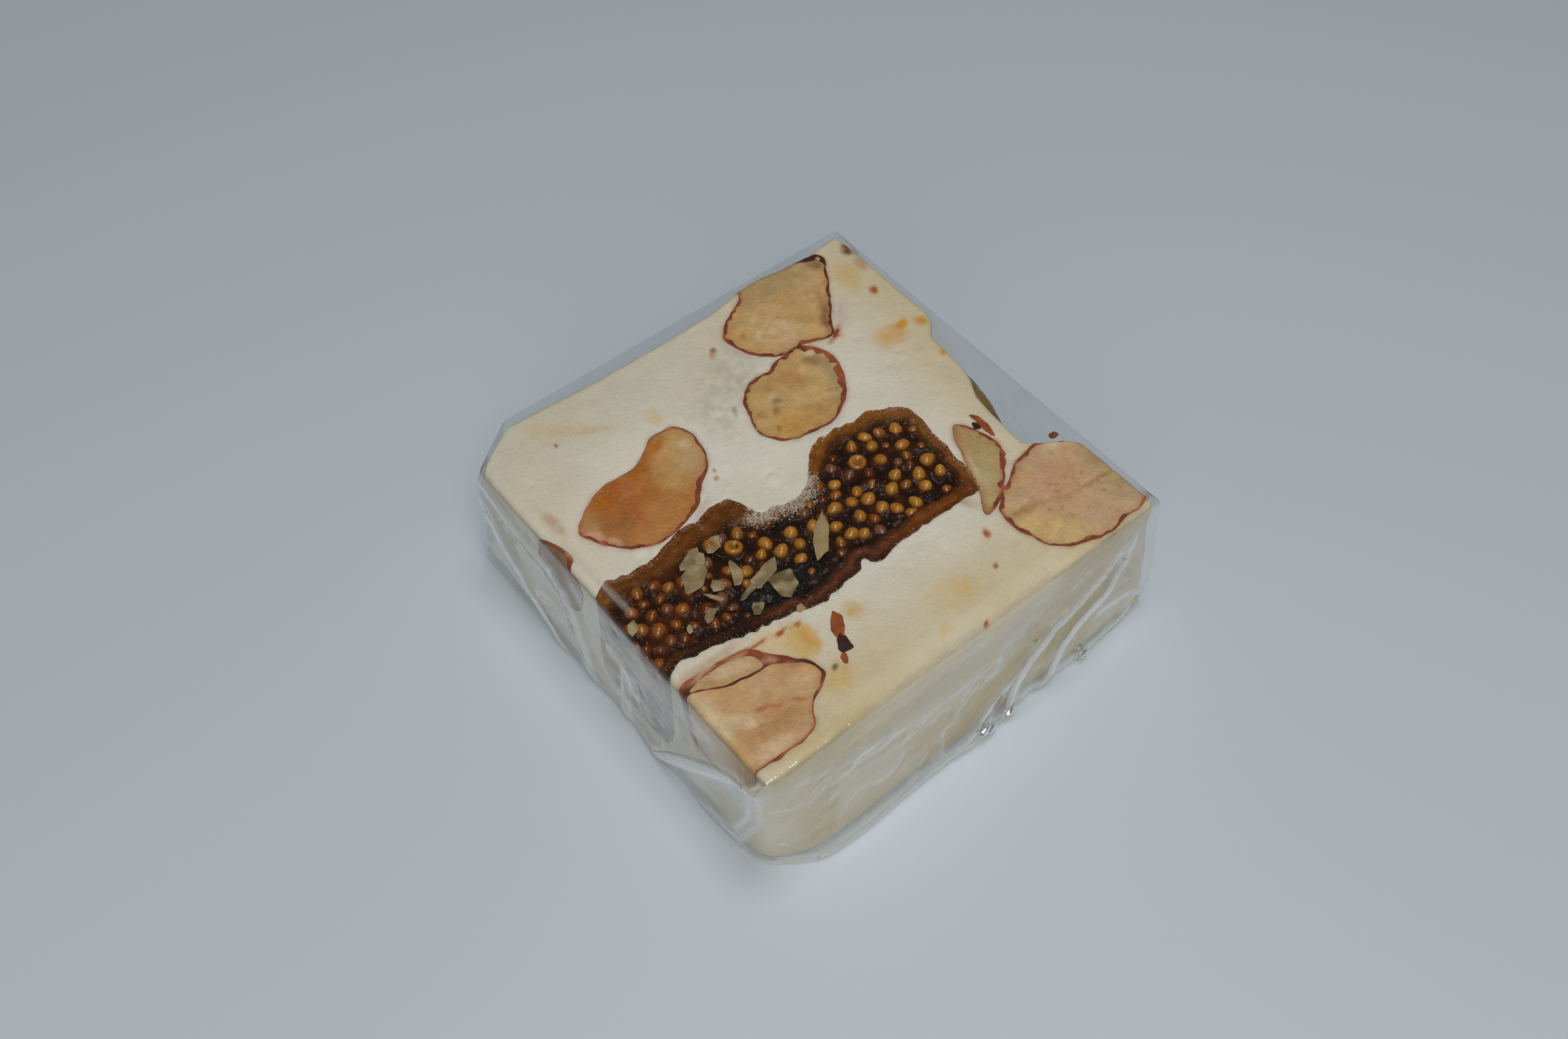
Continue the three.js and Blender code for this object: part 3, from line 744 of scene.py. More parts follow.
def nougat_colours(points):
    """Cream white, with warmer clouds, syrup stains and specks of skin and fruit."""
    tone = 0.5 + 0.5 * noise(points, 6, 61) + 0.15 * noise(points, 1.8, 62)
    colours = tinted(np.tile(linear("#F1ECDE"), (len(points), 1)), tone, "#E9E0CC")
    outer = ramp(np.maximum(np.abs(points[:, 0]), np.abs(points[:, 1])), 8, 20)
    outer = outer * (0.35 + 0.65 * ramp(points[:, 0] - points[:, 1], -20, 10))
    colours = tinted(colours, 0.8 * outer * (1 + 0.5 * noise(points, 4.0, 55)), "#DCCBA0")
    rough = blob(points, 2.2, 12.8, 2.4, 1.5, 70) + 0.7 * blob(points, -2, 9.5, 1.6, 2.0, 80)
    colours = tinted(colours, 0.6 * rough * (1 + noise(points, 0.5, 56)), "#CFC6AE")
    back_left = ramp(points[:, 1], 8, 18) * (1 - ramp(points[:, 0], -2, 8))
    colours = tinted(colours, 0.55 * back_left, "#D6CDB4")
    near_top = points[:, 2] > NOUGAT_TOP - 1.5
    seep = np.zeros(len(points))
    for loop in KERNEL_LOOPS:
        depth = inside_depth(points[near_top, :2], loop)
        seep[near_top] = np.maximum(seep[near_top], np.exp(-(depth / 0.24) ** 2))
    colours = tinted(colours, seep * (0.3 + 0.4 * noise(points, 0.8, 57)), "#B87858")
    # The stains lie at the cut top and don't run down the sides.
    shallow = ramp(points[:, 2], NOUGAT_TOP - 1.8, NOUGAT_TOP - 0.7)[:, None]
    return colours + (spotted(points, colours, STAINS, 63) - colours) * shallow


STAINS = [
    # Syrup that has soaked in beside the kernels.
    ("honey", 0.7, 15.6, 7.3, 1.0, 1.4, -10), ("straw", 0.7, 14.9, 7.0, 0.7, 1.3, -30),
    ("honey", 1.2, 17.2, 7.7, 0.5, 1.3), ("honey", 1.1, 18.6, 7.0, 0.5),
    ("straw", 0.9, 17.4, 15.3, 1.0, 1.7, 75), ("tan", 0.7, 19.2, 15.5, 0.5, 1.6, 90),
    ("honey", 1.3, 17.8, 3.0, 0.32, 1.1, 70), ("straw", 1.0, -5.6, -12.6, 0.75),
    ("cream", 1.3, -12.2, -11.2, 1.1, 1.7, -25), ("straw", 1.3, -10.6, -12.0, 1.1, 1.5, 70),
    ("honey", 0.75, -9.9, -12.3, 0.55, 2.1, 80),
    ("straw", 1.0, -10.6, -16.3, 1.0, 1.4, 10), ("straw", 0.5, 1.2, -16.4, 1.4, 1.5),
    ("straw", 0.6, 2.4, -16.3, 0.6, 1.3, 20), ("straw", 0.6, -1.4, -18.2, 0.45, 1.2),
    ("straw", 0.7, -6.0, 12.6, 0.5, 1.6, 80), ("straw", 0.5, -12.0, 15.9, 0.5, 6.5, -38),
    # Traces of fruit and skin dragged along by the knife.
    ("rust", 1.5, 18.0, 12.4, 0.34, 1.2, 70), ("brown", 1.2, 19.6, 17.8, 0.5, 1.4, 60),
    ("rust", 1.1, -13.4, -10.4, 0.16, 5, -4), ("rust", 1.2, -11.2, -10.6, 0.15, 4, -6),
    ("rust", 1.3, -9.6, -10.7, 0.18, 1.6), ("tan", 0.5, -17.0, -9.3, 0.3, 9, -3),
    ("rust", 1.2, 7.3, -13.7, 0.28, 1.4, 60), ("rust", 1.2, 5.6, -16.4, 0.18, 1.2),
    ("rust", 1.4, 1.9, -19.6, 0.18, 1.2), ("rust", 1.3, -5.75, 4.45, 0.12),
    ("rust", 1.2, -5.5, 5.05, 0.12), ("bark", 1.2, -10.1, -15.6, 0.2, 1.2),
    ("brown", 0.9, 2.4, 15.6, 0.2, 1.5, 55), ("tan", 0.7, 2.0, 15.1, 0.22, 1.5, 60),
    ("rust", 1.2, -14.2, 15.3, 0.16, 1.2, 90), ("brown", 0.5, -0.3, 9.0, 0.22, 2.2, 60),
    ("rust", 0.9, 12.3, 10.7, 0.25, 3.0, 35), ("rust", 0.9, 11.4, 10.1, 0.25, 3.0),
    ("tan", 0.5, -18.8, 8.6, 0.5, 3, 90), ("blush", 0.8, -8.8, 2.4, 0.35, 3.5, 30),
    ("blush", 0.8, 4.3, 13.6, 0.35, 3.0, 100), ("blush", 0.7, 13.6, 11.6, 0.5, 2.6, 60),
    ("drab", 0.7, 8.2, -10.4, 0.5, 1.6, -70)]

# Each kernel's own two flesh colours, and the marks that can be seen in it.
KERNEL_TONES = {
    "almond_back": ("#D6AA6A", "#DCB880", [
        ("brown", 0.8, 12.6, 12.6, 0.35, 5.0, 56), ("tan", 0.7, 13.3, 14.4, 0.25, 5.0, 56),
        ("brown", 0.9, 15.9, 18.3, 0.5, 1.4, 90), ("drab", 0.8, 12.0, 18.8, 1.4, 2.8),
        ("tan", 1.1, 5.5, 15.3, 0.24, 1.4, 60), ("cream", 0.9, 9.2, 14.4, 0.28, 2.2, 100),
        ("cream", 0.5, 8.2, 13.3, 1.3, 1.6, -20),
        ("cream", 0.8, 7.5, 16.3, 0.3, 1.8, 30), ("cream", 0.7, 6.6, 14.3, 0.26, 1.8, 60)]),
    "almond_round": ("#DAB474", "#DEBE86", [
        ("brown", 0.6, 8.5, 9.3, 0.55, 2.0, -50), ("cream", 1.2, 8.7, 10.3, 0.35, 1.2),
        ("drab", 0.8, 8.9, 7.4, 0.6, 2.0, 80), ("drab", 0.7, 7.9, 5.6, 0.6, 1.8, 50),
        ("honey", 0.6, 3.2, 4.7, 1.3, 1.6, -15), ("tan", 0.45, 4.6, 4.3, 1.2, 1.8, -10),
        ("tan", 0.7, 5.6, 8.8, 0.9, 1.4, 80), ("tan", 0.6, 3.8, 9.4, 0.7, 1.3, 30),
        ("rust", 0.7, 2.5, 6.9, 0.32, 1.6, 60), ("tan", 1.0, 1.2, 7.2, 0.4, 1.3),
        ("brown", 0.6, 3.2, 7.5, 0.16, 4.0, -35),
        ("rust", 1.0, 1.3, 5.2, 0.18, 1.3, 90), ("cream", 0.9, 3.0, 8.2, 0.25, 2.2, 10)]),
    "almond_left": ("#BE7630", "#CA8E4C", [
        ("straw", 0.5, -6.9, 8.0, 2.2, 1.5, 60), ("cream", 0.3, -6.2, 7.6, 1.2, 1.8, 70),
        ("brown", 0.4, -15.2, 5.1, 1.3, 1.5, 60), ("amber", 1.6, -14.2, 8.2, 0.8, 2.4, 30),
        ("rust", 0.7, -12.2, 8.6, 0.7, 1.8), ("amber", 1.1, -10.0, 9.0, 0.55, 2.4, 15),
        ("amber", 0.9, -7.7, 10.3, 0.5, 2.2, 25),
        ("drab", 0.35, -16.3, 7.1, 0.8, 1.3, 40), ("rust", 0.8, -13.0, 5.6, 0.28, 4.4, 92),
        ("peach", 1.3, -16.9, 5.7, 0.42, 1.8, -70), ("peach", 1.3, -16.1, 4.2, 0.4, 2.0, -55),
        ("cream", 0.8, -5.8, 8.9, 0.35, 1.3, 60)]),
    "almond_right": ("#D4B490", "#D6B080", [
        ("straw", 0.8, 11.8, -17.0, 1.5, 1.8, -50), ("straw", 0.7, 10.6, -14.2, 0.9, 1.6, 90),
        ("drab", 0.6, 19.2, -15.5, 0.9, 3.4, 90), ("peach", 0.8, 15.4, -13.2, 1.8, 1.5),
        ("tan", 0.9, 11.4, -13.7, 0.3, 4.0, -3), ("tan", 0.8, 15.0, -14.3, 0.2, 3.5, -25),
        ("tan", 0.8, 18.0, -15.1, 0.16, 10, -3), ("cream", 0.9, 18.0, -10.4, 0.5, 2.4, -15)]),
    "almond_sliver": ("#C2A66E", "#CBB684", [
        ("tan", 0.5, 12.8, -4.6, 0.8, 1.4, 90), ("cream", 0.6, 11.0, -8.0, 0.35, 3.4, 65),
        ("tan", 0.7, 8.9, -12.1, 0.4)]),
    "almond_front": ("#D6A872", "#DCB684", [
        ("tan", 0.6, -17.1, -16.7, 1.5, 1.7), ("cream", 0.9, -19.8, -13.2, 0.6, 4.0, 90),
        ("cream", 0.8, -18.0, -18.1, 0.7, 2.6), ("cream", 0.8, -18.6, -14.8, 0.6, 2.4, -30),
        ("rust", 0.8, -16.2, -15.1, 0.16, 7, -27), ("rust", 0.8, -13.9, -16.0, 0.16, 4, -20)]),
    "almond_front_half": ("#CFA26C", "#D6AE7C", [("cream", 0.8, -16.4, -10.7, 0.6, 2.6, -15)]),
    "almond_side": ("#A4845C", "#947454", [("brown", 0.3, -20.0, 8.0, 1.4, 1.5, 90)]),
}
PORES = [  # small brown dots in the flesh of the right kernel
    (16.1, -13.4), (17.5, -14.0), (14.6, -13.2), (13.7, -15.6), (12.8, -15.1), (17.6, -16.4),
    (15.4, -16.9), (18.8, -17.1), (13.8, -16.7)]


def kernel_colours(points, name):
    """Roasted almond flesh: clouded, streaked out from its middle, and darker towards its rim."""
    base, cloud, spots = KERNEL_TONES[name]
    colours = np.tile(linear(base), (len(points), 1))
    colours = tinted(colours, 0.5 + 0.7 * noise(points, 2.2, 60), cloud)
    depth = inside_depth(points[:, :2], almond_loops.get(name, front_loop))
    browned = 0.3 * np.exp(-(depth / 0.8) ** 2) * (1 + noise(points, 1.2, 59))
    colours = tinted(colours, browned, TONES["tan"])
    colours = spotted(points, colours, spots, 64, 0.3)
    for x, y in PORES:
        colours = tinted(colours, 0.9 * blob(points, x, y, 0.17), TONES["tan"])
    seep = 0.75 * np.exp(-(depth / 0.26) ** 2) * (0.7 + 0.6 * noise(points, 0.7, 58))
    colours = tinted(colours, seep, "#A25C3C")
    dx, dy = (points[:, :2] - points[:, :2].mean(axis=0)).T
    around = np.degrees(np.arctan2(dy, dx)) / 7
    spokes = np.column_stack([around, np.hypot(dx, dy) / 5, points[:, 2] / 5])
    return colours * (1 + 0.1 * noise(spokes, 1.0, 65) + 0.07 * noise(points, 0.5, 66))[:, None]


def skin_colours(points):
    """Almond skin, from bright red-brown to nearly black."""
    tone = 0.45 + 0.7 * noise(points, 0.8, 67)
    colours = tinted(np.tile(linear("#A0522F"), (len(points), 1)), tone, "#7A3822")
    colours = tinted(colours, ramp(noise(points, 0.7, 68), 0.2, 0.8), "#BC7048")
    return spotted(points, colours, SKIN_TONES, 69, 0.2)


SKIN_TONES = [
    ("bark", 1.2, 16.4, 18.4, 1.1, 1.2, 60), ("bark", 0.6, 13.8, 13.6, 0.8, 5, 56),
    ("rust", 0.6, 9.7, 8.2, 1.2, 1.8, 90), ("bark", 1.1, -11.4, -14.4, 0.7, 1.6, -60),
    ("rust", 0.7, -17.0, -9.7, 0.8, 4, -5), ("bark", 1.1, -19.6, -10.3, 0.5, 1.5),
    ("bark", 0.9, -16.5, -11.9, 0.3, 6, -15), ("bark", 0.7, -13.0, -16.8, 0.6, 1.4, -40),
    ("rust", 1.0, -14.1, -17.8, 0.6, 1.6, 60), ("rust", 0.6, -17.0, -18.9, 0.6, 4),
    ("rust", 0.8, 18.2, -9.7, 0.9, 1.2),
    ("cream", 0.7, -18.0, -9.75, 0.2, 6, 8), ("peach", 0.7, -15.2, -10.2, 0.2, 4, -15),
    ("cream", 0.5, -13.5, -12.0, 0.2, 3, -35)]


def fig_colours(points):
    """Fig rind, brown to olive, round dark red pulp with amber round its seeds."""
    depth, width = fig_depths(points)
    x, y, _ = points.T
    upper, lower = ramp(y, -3, -0.5), ramp(-y, 6.5, 8.5)
    rind = tinted(np.tile(linear("#744010"), (len(points), 1)), ramp(x, -1, 2) * upper, "#8C5410")
    rind = tinted(rind, lower * (1 - ramp(x, -1, 4)), "#44281A")
    tan_ends = ramp(x, 9.4, 10.6) + ramp(-x, 18, 20.5)
    rind = tinted(rind, 0.75 * tan_ends, "#8E5C26")
    rind = tinted(rind, 0.4 * ramp(noise(points, 2.6, 70), 0, 0.9), "#7E4E26")
    share = depth / width
    rind = tinted(rind, 0.45 * np.exp(-((share - 0.5) / 0.16) ** 2) * lower, "#8C4820")
    rind = tinted(rind, 0.75 * np.exp(-((share - 0.97) / 0.14) ** 2), "#2A1408")
    rind = tinted(rind, 0.8 * ramp(-x, 9.5, 13.5) * ramp(-y, 6, 8), "#22140E")
    rind = rind * (1 + 0.16 * np.sin(share * 16 + 2 * noise(points, 1.5, 71)))[:, None]
    pulp = np.tile(linear("#1A0B05"), (len(points), 1))
    pulp = tinted(pulp, ramp(noise(points, 1.2, 72), 0.1, 0.9), "#3A1805")
    pulp = tinted(pulp, ramp(noise(points, 0.8, 73), 0.25, 0.8), "#160A06")
    pulp = tinted(pulp, 0.8 * ramp(-x, 12, 15) * ramp(noise(points, 1.4, 76), -0.4, 0.3), "#4E2008")
    band = ramp(-y, 5.4, 6.6) * (1 - ramp(-y, 8.4, 9.2)) * ramp(-x, 2.5, 5) * (1 - ramp(-x, 12, 15))
    band = band * ramp(noise(points, 1.6, 78), -0.7, 0.1)
    pulp = tinted(pulp, 0.45 * (1 - band) * near_seeds(points, 1.25), "#5E2A06")
    pulp = tinted(pulp, band * (0.65 + 0.4 * noise(points, 0.9, 74)), "#1E2022")
    return rind + (pulp - rind) * ramp(depth, width - 0.1, width + 0.35)[:, None]


def fig_dust_and_sparkle(points):
    """Pale specks: sugar grains, a few all over the fig, which also stand for its sparkle as painted
    highlights, and a froth of nougat along the notch.
    """
    frost = np.exp(-(line_distance(points[:, :2], NOTCH) / 0.7) ** 2)
    near = blob(points, -2, -1.9, 1.2, 2.0, -10) + blob(points, -5, -0.9, 0.8, 1.6, 20)
    edge = 0.25 * np.exp(-(fig_depths(points)[0] / 0.25) ** 2)
    return np.clip(0.1 + 0.1 * noise(points, 2.0, 77) + 0.46 * frost + 0.2 * near + edge, 0, 0.8)


NOTCH = [(-6.2, -0.6), (-5, -1.2), (-3.4, -1.6), (-2.2, -2.1), (-0.9, -1.6), (0.2, -0.6)]

# ---- Making the block and what is set in it ----
points, faces, out = nougat_form()
block = new_object("block", points, faces)
outward = points_of(block, "normal")
relief = np.clip(cut_relief(points), -1.2, 0.12)
move_points(block, points + outward * relief[:, None])

skins, kernels, sockets = [], {}, []


def set_almond(name, loop, depth, knots):
    """Cuts one almond and its skin out of the block, and keeps the socket for the nougat."""
    skin = skin_thickness(loop, knots)
    socket = loft("socket_" + name, pebble_rings(loop + outwards(loop) * 0.02, depth + 0.02, FLAT_TOP))
    inner = loop - outwards(loop) * skin[:, None]
    core = loft("core_" + name, pebble_rings(inner, depth - 0.2, FLAT_TOP))
    kernels[name] = boolean(copy_of(core, name), "INTERSECT", block)
    shell = boolean(copy_of(socket, "skin_" + name), "INTERSECT", block)
    skins.append(boolean(shell, "DIFFERENCE", core))
    remove(core)
    sockets.append(socket)


for name, spec in ALMONDS.items():
    set_almond(name, almond_loops[name], spec["depth"], spec["skin"])

front_socket = loft("socket_front", pebble_rings(front_loop, FRONT_ALMOND["depth"], FLAT_TOP))
front_skin = boolean(copy_of(front_socket, "skin_front"), "INTERSECT", block)
for i, (name, outline) in enumerate(FRONT_KERNELS.items()):
    loop = waved(smooth_loop(outline), 0.08, 0.6, 34 + i)
    core = loft("core_" + name, pebble_rings(loop, FRONT_ALMOND["depth"] - 0.3, FLAT_TOP))
    inside = boolean(core, "INTERSECT", front_socket)
    kernels[name] = boolean(copy_of(inside, name), "INTERSECT", block)
    front_skin = boolean(front_skin, "DIFFERENCE", inside)
    remove(inside)
skins.append(front_skin)
sockets.append(front_socket)

side = SIDE_ALMOND
side_socket = ball("socket_side", side["middle"], side["half"], side["turn"])
side_core = ball("core_side", side["middle"], side["half"], side["turn"], -side["skin"])
kernels["almond_side"] = boolean(copy_of(side_core, "almond_side"), "INTERSECT", block)
shell = boolean(copy_of(side_socket, "skin_side"), "INTERSECT", block)
skins.append(boolean(shell, "DIFFERENCE", side_core))
remove(side_core)
sockets.append(side_socket)

fig_heights = [(1.1, FIG_FLOOR), (0.3, FIG_FLOOR + 1.2), (0, FIG_FLOOR + 3), (0, FLAT_TOP)]
fig_socket = loft("socket_fig", [
    (FIG_OUTLINE - outwards(FIG_OUTLINE) * drawn_in, z) for drawn_in, z in fig_heights])
fig = boolean(copy_of(fig_socket, "fig_slice"), "INTERSECT", block)
sockets.append(fig_socket)

sultana = ball("sultana", **SULTANA_FORM, rings=64)
grain = points_of(sultana)
wrinkle = 0.16 * np.abs(noise(grain * (1, 0.45, 1), 1.1, 81)) + 0.05 * noise(grain, 0.5, 82)
move_points(sultana, grain - points_of(sultana, "normal") * wrinkle[:, None])
sockets.append(ball("socket_sultana", **SULTANA_FORM))

nougat = boolean(copy_of(block, "nougat"), "DIFFERENCE", *sockets)
remove(block, *sockets)

paint(nougat, "tint", nougat_colours(points_of(nougat)))
finish_piece(nougat, NOUGAT, ["nougat"])
for name, kernel in kernels.items():
    paint(kernel, "tint", kernel_colours(points_of(kernel), name))
    finish_piece(kernel, ALMOND, [name])
almond_skins = joined("almond_skins", skins)
paint(almond_skins, "tint", skin_colours(points_of(almond_skins)))
finish_piece(almond_skins, ALMOND_SKIN)
paint(fig, "tint", fig_colours(points_of(fig)))
# The fig's pale specks: sugar grains and froth, and also painted sparkle highlights.
weigh(fig, "dust_and_sparkle", fig_dust_and_sparkle(points_of(fig)))
finish_piece(fig, FIG, ["fig_slice"])
grain = points_of(sultana)
tone = 0.5 + 0.6 * noise(grain, 1.6, 83)
amber = tinted(np.tile(linear("#6E4C22"), (len(grain), 1)), tone, "#8C6C34")
paint(sultana, "tint", tinted(amber, ramp(noise(grain, 0.9, 84), 0.3, 0.9), "#4A3416"))
finish_piece(sultana, SULTANA, ["sultana"])


# ---- Seeds, crumbs and flakes ----
def scatter_tree():
    """Puts a copy of a piece at every point, turned and sized by the point's own values."""
    tree = bpy.data.node_groups.new("scatter", "GeometryNodeTree")
    tree.interface.new_socket("Geometry", in_out="INPUT", socket_type="NodeSocketGeometry")
    tree.interface.new_socket("Piece", in_out="INPUT", socket_type="NodeSocketObject")
    tree.interface.new_socket("Finish", in_out="INPUT", socket_type="NodeSocketMaterial")
    tree.interface.new_socket("Geometry", in_out="OUTPUT", socket_type="NodeSocketGeometry")
    entry = add_node(tree, "NodeGroupInput")
    piece = add_node(tree, "GeometryNodeObjectInfo", {"Object": entry.outputs["Piece"]})
    turn = add_node(tree, "GeometryNodeInputNamedAttribute", {"Name": "turn"}, data_type="FLOAT_VECTOR")
    size = add_node(tree, "GeometryNodeInputNamedAttribute", {"Name": "size"}, data_type="FLOAT_VECTOR")
    placed = add_node(tree, "GeometryNodeInstanceOnPoints", {
        "Points": entry.outputs["Geometry"], "Instance": piece.outputs["Geometry"],
        "Rotation": turn.outputs["Attribute"], "Scale": size.outputs["Attribute"]})
    real = add_node(tree, "GeometryNodeRealizeInstances", {"Geometry": placed.outputs[0]})
    dressed = add_node(tree, "GeometryNodeSetMaterial", {
        "Geometry": real.outputs[0], "Material": entry.outputs["Finish"]})
    add_node(tree, "NodeGroupOutput", {"Geometry": dressed.outputs[0]})
    return tree


SCATTER = scatter_tree()


def vectors(obj, name, values):
    obj.data.attributes.new(name, "FLOAT_VECTOR", "POINT").data.foreach_set(
        "vector", np.asarray(values, float).ravel())


def scattered(name, piece, places, turns, sizes, tints, material):
    """One mesh of copies of a piece."""
    carrier = new_object(name, places, [])
    vectors(carrier, "turn", turns)
    vectors(carrier, "size", sizes)
    paint(carrier, "tint", tints)
    modifier = carrier.modifiers.new("scatter", "NODES")
    modifier.node_group = SCATTER
    entries = {item.name: item.identifier for item in SCATTER.interface.items_tree
               if item.in_out == "INPUT"}
    modifier[entries["Piece"]] = piece
    modifier[entries["Finish"]] = material
    keep_result(carrier, modifier)
    kept = carrier.data.attributes
    for leftover in ("turn", "size"):
        if leftover in kept:
            kept.remove(kept[leftover])
    return carrier


def turned_body(name, profile, count=14):
    """A body turned about Z from (radius, height) pairs that start and end on the axis."""
    turn = np.linspace(0, 2 * math.pi, count, endpoint=False)
    inner = profile[1:-1]
    rings = [np.column_stack([r * np.cos(turn), r * np.sin(turn), np.full(count, z)]) for r, z in inner]
    places = [(0, 0, profile[0][1]), *np.vstack(rings), (0, 0, profile[-1][1])]
    step = np.arange(count)
    after = (step + 1) % count
    last = len(places) - 1
    foot = [(0, 1 + later, 1 + here) for here, later in zip(step, after)]
    tip = [(last, last - count + here, last - count + later) for here, later in zip(step, after)]
    return new_object(name, places, foot + ring_quads(count, len(rings), 1) + tip)


angles = np.linspace(-math.pi / 2, math.pi / 2, 11)
seed = turned_body("seed_body", [
    (0.5 * math.cos(a) * (1 - 0.2 * max(math.sin(a), 0)), 0.5 * math.sin(a) * (1.14 if a > 0 else 1))
    for a in angles])
cut_seed = turned_body("cut_seed_body", [
    (0, -0.5), (0.2, -0.46), (0.38, -0.34), (0.48, -0.15), (0.5, 0.02), (0.46, 0.14), (0.36, 0.18),
    (0.26, 0.14), (0.2, 0.08), (0.14, 0.06), (0.07, 0.07), (0, 0.08)], 18)


def seed_tints(count, bright):
    """Golden for the seeds that show best, and from amber to dull brown for the rest."""
    tints = np.tile(linear("#C48A30"), (count, 1))
    tints = tinted(tints, rng.random(count) * 0.8, "#B47626")
    tints = tinted(tints, ~bright * rng.uniform(0.1, 1, count), "#944E18")
    tints = tinted(tints, 0.8 * ((rng.random(count) < 0.25) & ~bright), "#86604C")
    return tinted(tints, 0.8 * ((rng.random(count) < 0.18) & ~bright), "#642E12")


def shade_seeds(obj):
    """Darkens seeds towards their lower half: painted shade under their lit tops, and the syrup that
    stands round them there.
    """
    grain = points_of(obj)
    tint = np.empty(len(grain) * 4)
    obj.data.attributes["tint"].data.foreach_get("color", tint)
    low = 1 - ramp(grain[:, 2], NOUGAT_TOP - 0.55, NOUGAT_TOP + 0.06)
    paint(obj, "tint", tinted(tint.reshape(-1, 4)[:, :3], 0.88 * low, "#4C1F06"))


count = len(seeds)
shown = np.array([any(math.hypot(x - a, y - b) < 0.01 for a, b, _ in SEEDS_SHOWN) for x, y, _ in seeds])
is_cut = np.array([any(math.hypot(x - a, y - b) < 0.01 for a, b in CUT_SEEDS) for x, y, _ in seeds])
sunk = np.where(shown, 0.42, rng.uniform(0.44, 0.7, count)) * seeds[:, 2]
places = np.column_stack([seeds[:, :2], NOUGAT_TOP + 0.02 - sunk])
tilts = np.column_stack([
    rng.uniform(0.3, 1.5, count), rng.uniform(-0.5, 0.5, count), rng.uniform(0, 6.28, count)])
sizes = seeds[:, 2:] * np.column_stack([
    rng.uniform(0.85, 0.97, (count, 2)), rng.uniform(0.92, 1.05, count)])
# The seeds are riper, redder and duller towards the left end.
tints = tinted(seed_tints(count, shown), 0.55 * ramp(-seeds[:, 0], 11, 16), "#7C3610")
whole = ~is_cut
fig_seeds = scattered("fig_seeds", seed, places[whole], tilts[whole], sizes[whole],
                      tints[whole], FIG_SEED)
level = tilts[is_cut] * (0.12, 0.3, 1)
cut_places = places[is_cut] + (0, 0, 0.3)
ring_seeds = scattered("cut_fig_seeds", cut_seed, cut_places, level,
                       sizes[is_cut] * (1.08, 1.08, 1), tints[is_cut], FIG_SEED)
for made in (fig_seeds, ring_seeds):
    flat = points_of(made)
    flat[:, 2] = np.minimum(flat[:, 2], NOUGAT_TOP + 0.12 + 0.02 * noise(flat, 0.4, 91))
    move_points(made, flat)
    shade_seeds(made)
    finish_piece(made, FIG_SEED, sharp=80)

# Seeds also stand in the fig's face at the left side.
side_count = 16
places = np.column_stack([
    np.full(side_count, -19.9), rng.uniform(-7.4, 0.2, side_count),
    rng.uniform(4.5, 12, side_count)])
turns = rng.uniform(-1, 1, (side_count, 3))
sizes = np.full((side_count, 3), 1.2) * rng.uniform(0.85, 1.1, (side_count, 1))
tints = tinted(np.tile(linear("#9A6426"), (side_count, 1)), rng.random(side_count), "#6A3A1C")
side_seeds = scattered("fig_seeds_at_side", seed, places, turns, sizes, tints, FIG_SEED)
finish_piece(side_seeds, FIG_SEED, sharp=80)

# Crumbs of nougat lie along the notch in the fig, and grains of sugar over its cut face; these pale
# grains also stand for the sparkle of light on the sugar, as painted highlights.
crumb_count, sparkle_grain_count = 420, 620
line = np.array(NOTCH)
leg = rng.integers(0, len(line) - 1, crumb_count)
share = rng.random((crumb_count, 1))
crumb_xy = line[leg] * (1 - share) + line[leg + 1] * share + rng.normal(0, 0.38, (crumb_count, 2))
sparkle_grain_xy = np.column_stack([rng.uniform(-20, 11, sparkle_grain_count), rng.uniform(-10.2, 2.2, sparkle_grain_count)])
loose_xy = np.vstack([crumb_xy, sparkle_grain_xy])
loose_size = np.concatenate([rng.uniform(0.05, 0.15, crumb_count), rng.uniform(0.03, 0.08, sparkle_grain_count)])
depth, width = fig_depths(np.column_stack([loose_xy, np.zeros(len(loose_xy))]))
bed = np.where(depth > width + 0.3, -0.28, -0.06)
kept = depth > 0.1
places = np.column_stack([loose_xy, NOUGAT_TOP + bed])[kept]
turns = rng.uniform(0, 6.28, (len(places), 3))
tints = tinted(np.tile(linear("#E6DCC8"), (len(places), 1)), rng.random(len(places)), "#C8B69C")
crumb = turned_body("crumb_body", [(0, -0.5), (0.42, -0.3), (0.5, 0.1), (0.3, 0.42), (0, 0.5)], 5)
sizes = np.tile(loose_size[kept][:, None], (1, 3))
crumbs = scattered("nougat_crumbs", crumb, places, turns, sizes, tints, FLAKE)
finish_piece(crumbs, FLAKE)
remove(seed, cut_seed, crumb)


def flake(name, place, size, turn, draw, thick=0.12, corners=7, height=0.0):
    """A flat angular chip lying in the cut surface, whose uneven outline the seed draw sets."""
    chip = np.random.default_rng(draw)
    angles = (np.arange(corners) + chip.uniform(-0.35, 0.35, corners)) * 2 * math.pi / corners
    reach = chip.uniform(0.72, 1.15, corners)[:, None]
    outline = np.column_stack([np.cos(angles), np.sin(angles)]) * reach * np.array(size) / 2
    outline = even_loop(outline, 36)
    angle = math.radians(turn)
    spin = np.array([[math.cos(angle), math.sin(angle)], [-math.sin(angle), math.cos(angle)]])
    loop = waved(outline @ spin + np.array(place), 0.06, 0.5, draw)
    top = NOUGAT_TOP + 0.06 + height
    middle = loop.mean(axis=0)
    rings = [(middle + (loop - middle) * 0.85, top - thick), (loop, top - thick * 0.6),
             (loop, top - thick * 0.2), (middle + (loop - middle) * 0.93, top)]
    rings += [(middle + (loop - middle) * s, top) for s in (0.7, 0.45, 0.2)]
    made = loft(name, rings)
    lumps = points_of(made)
    lumps[:, 2] += 0.03 * noise(lumps, 0.4, draw + 1)
    move_points(made, lumps)
    return made


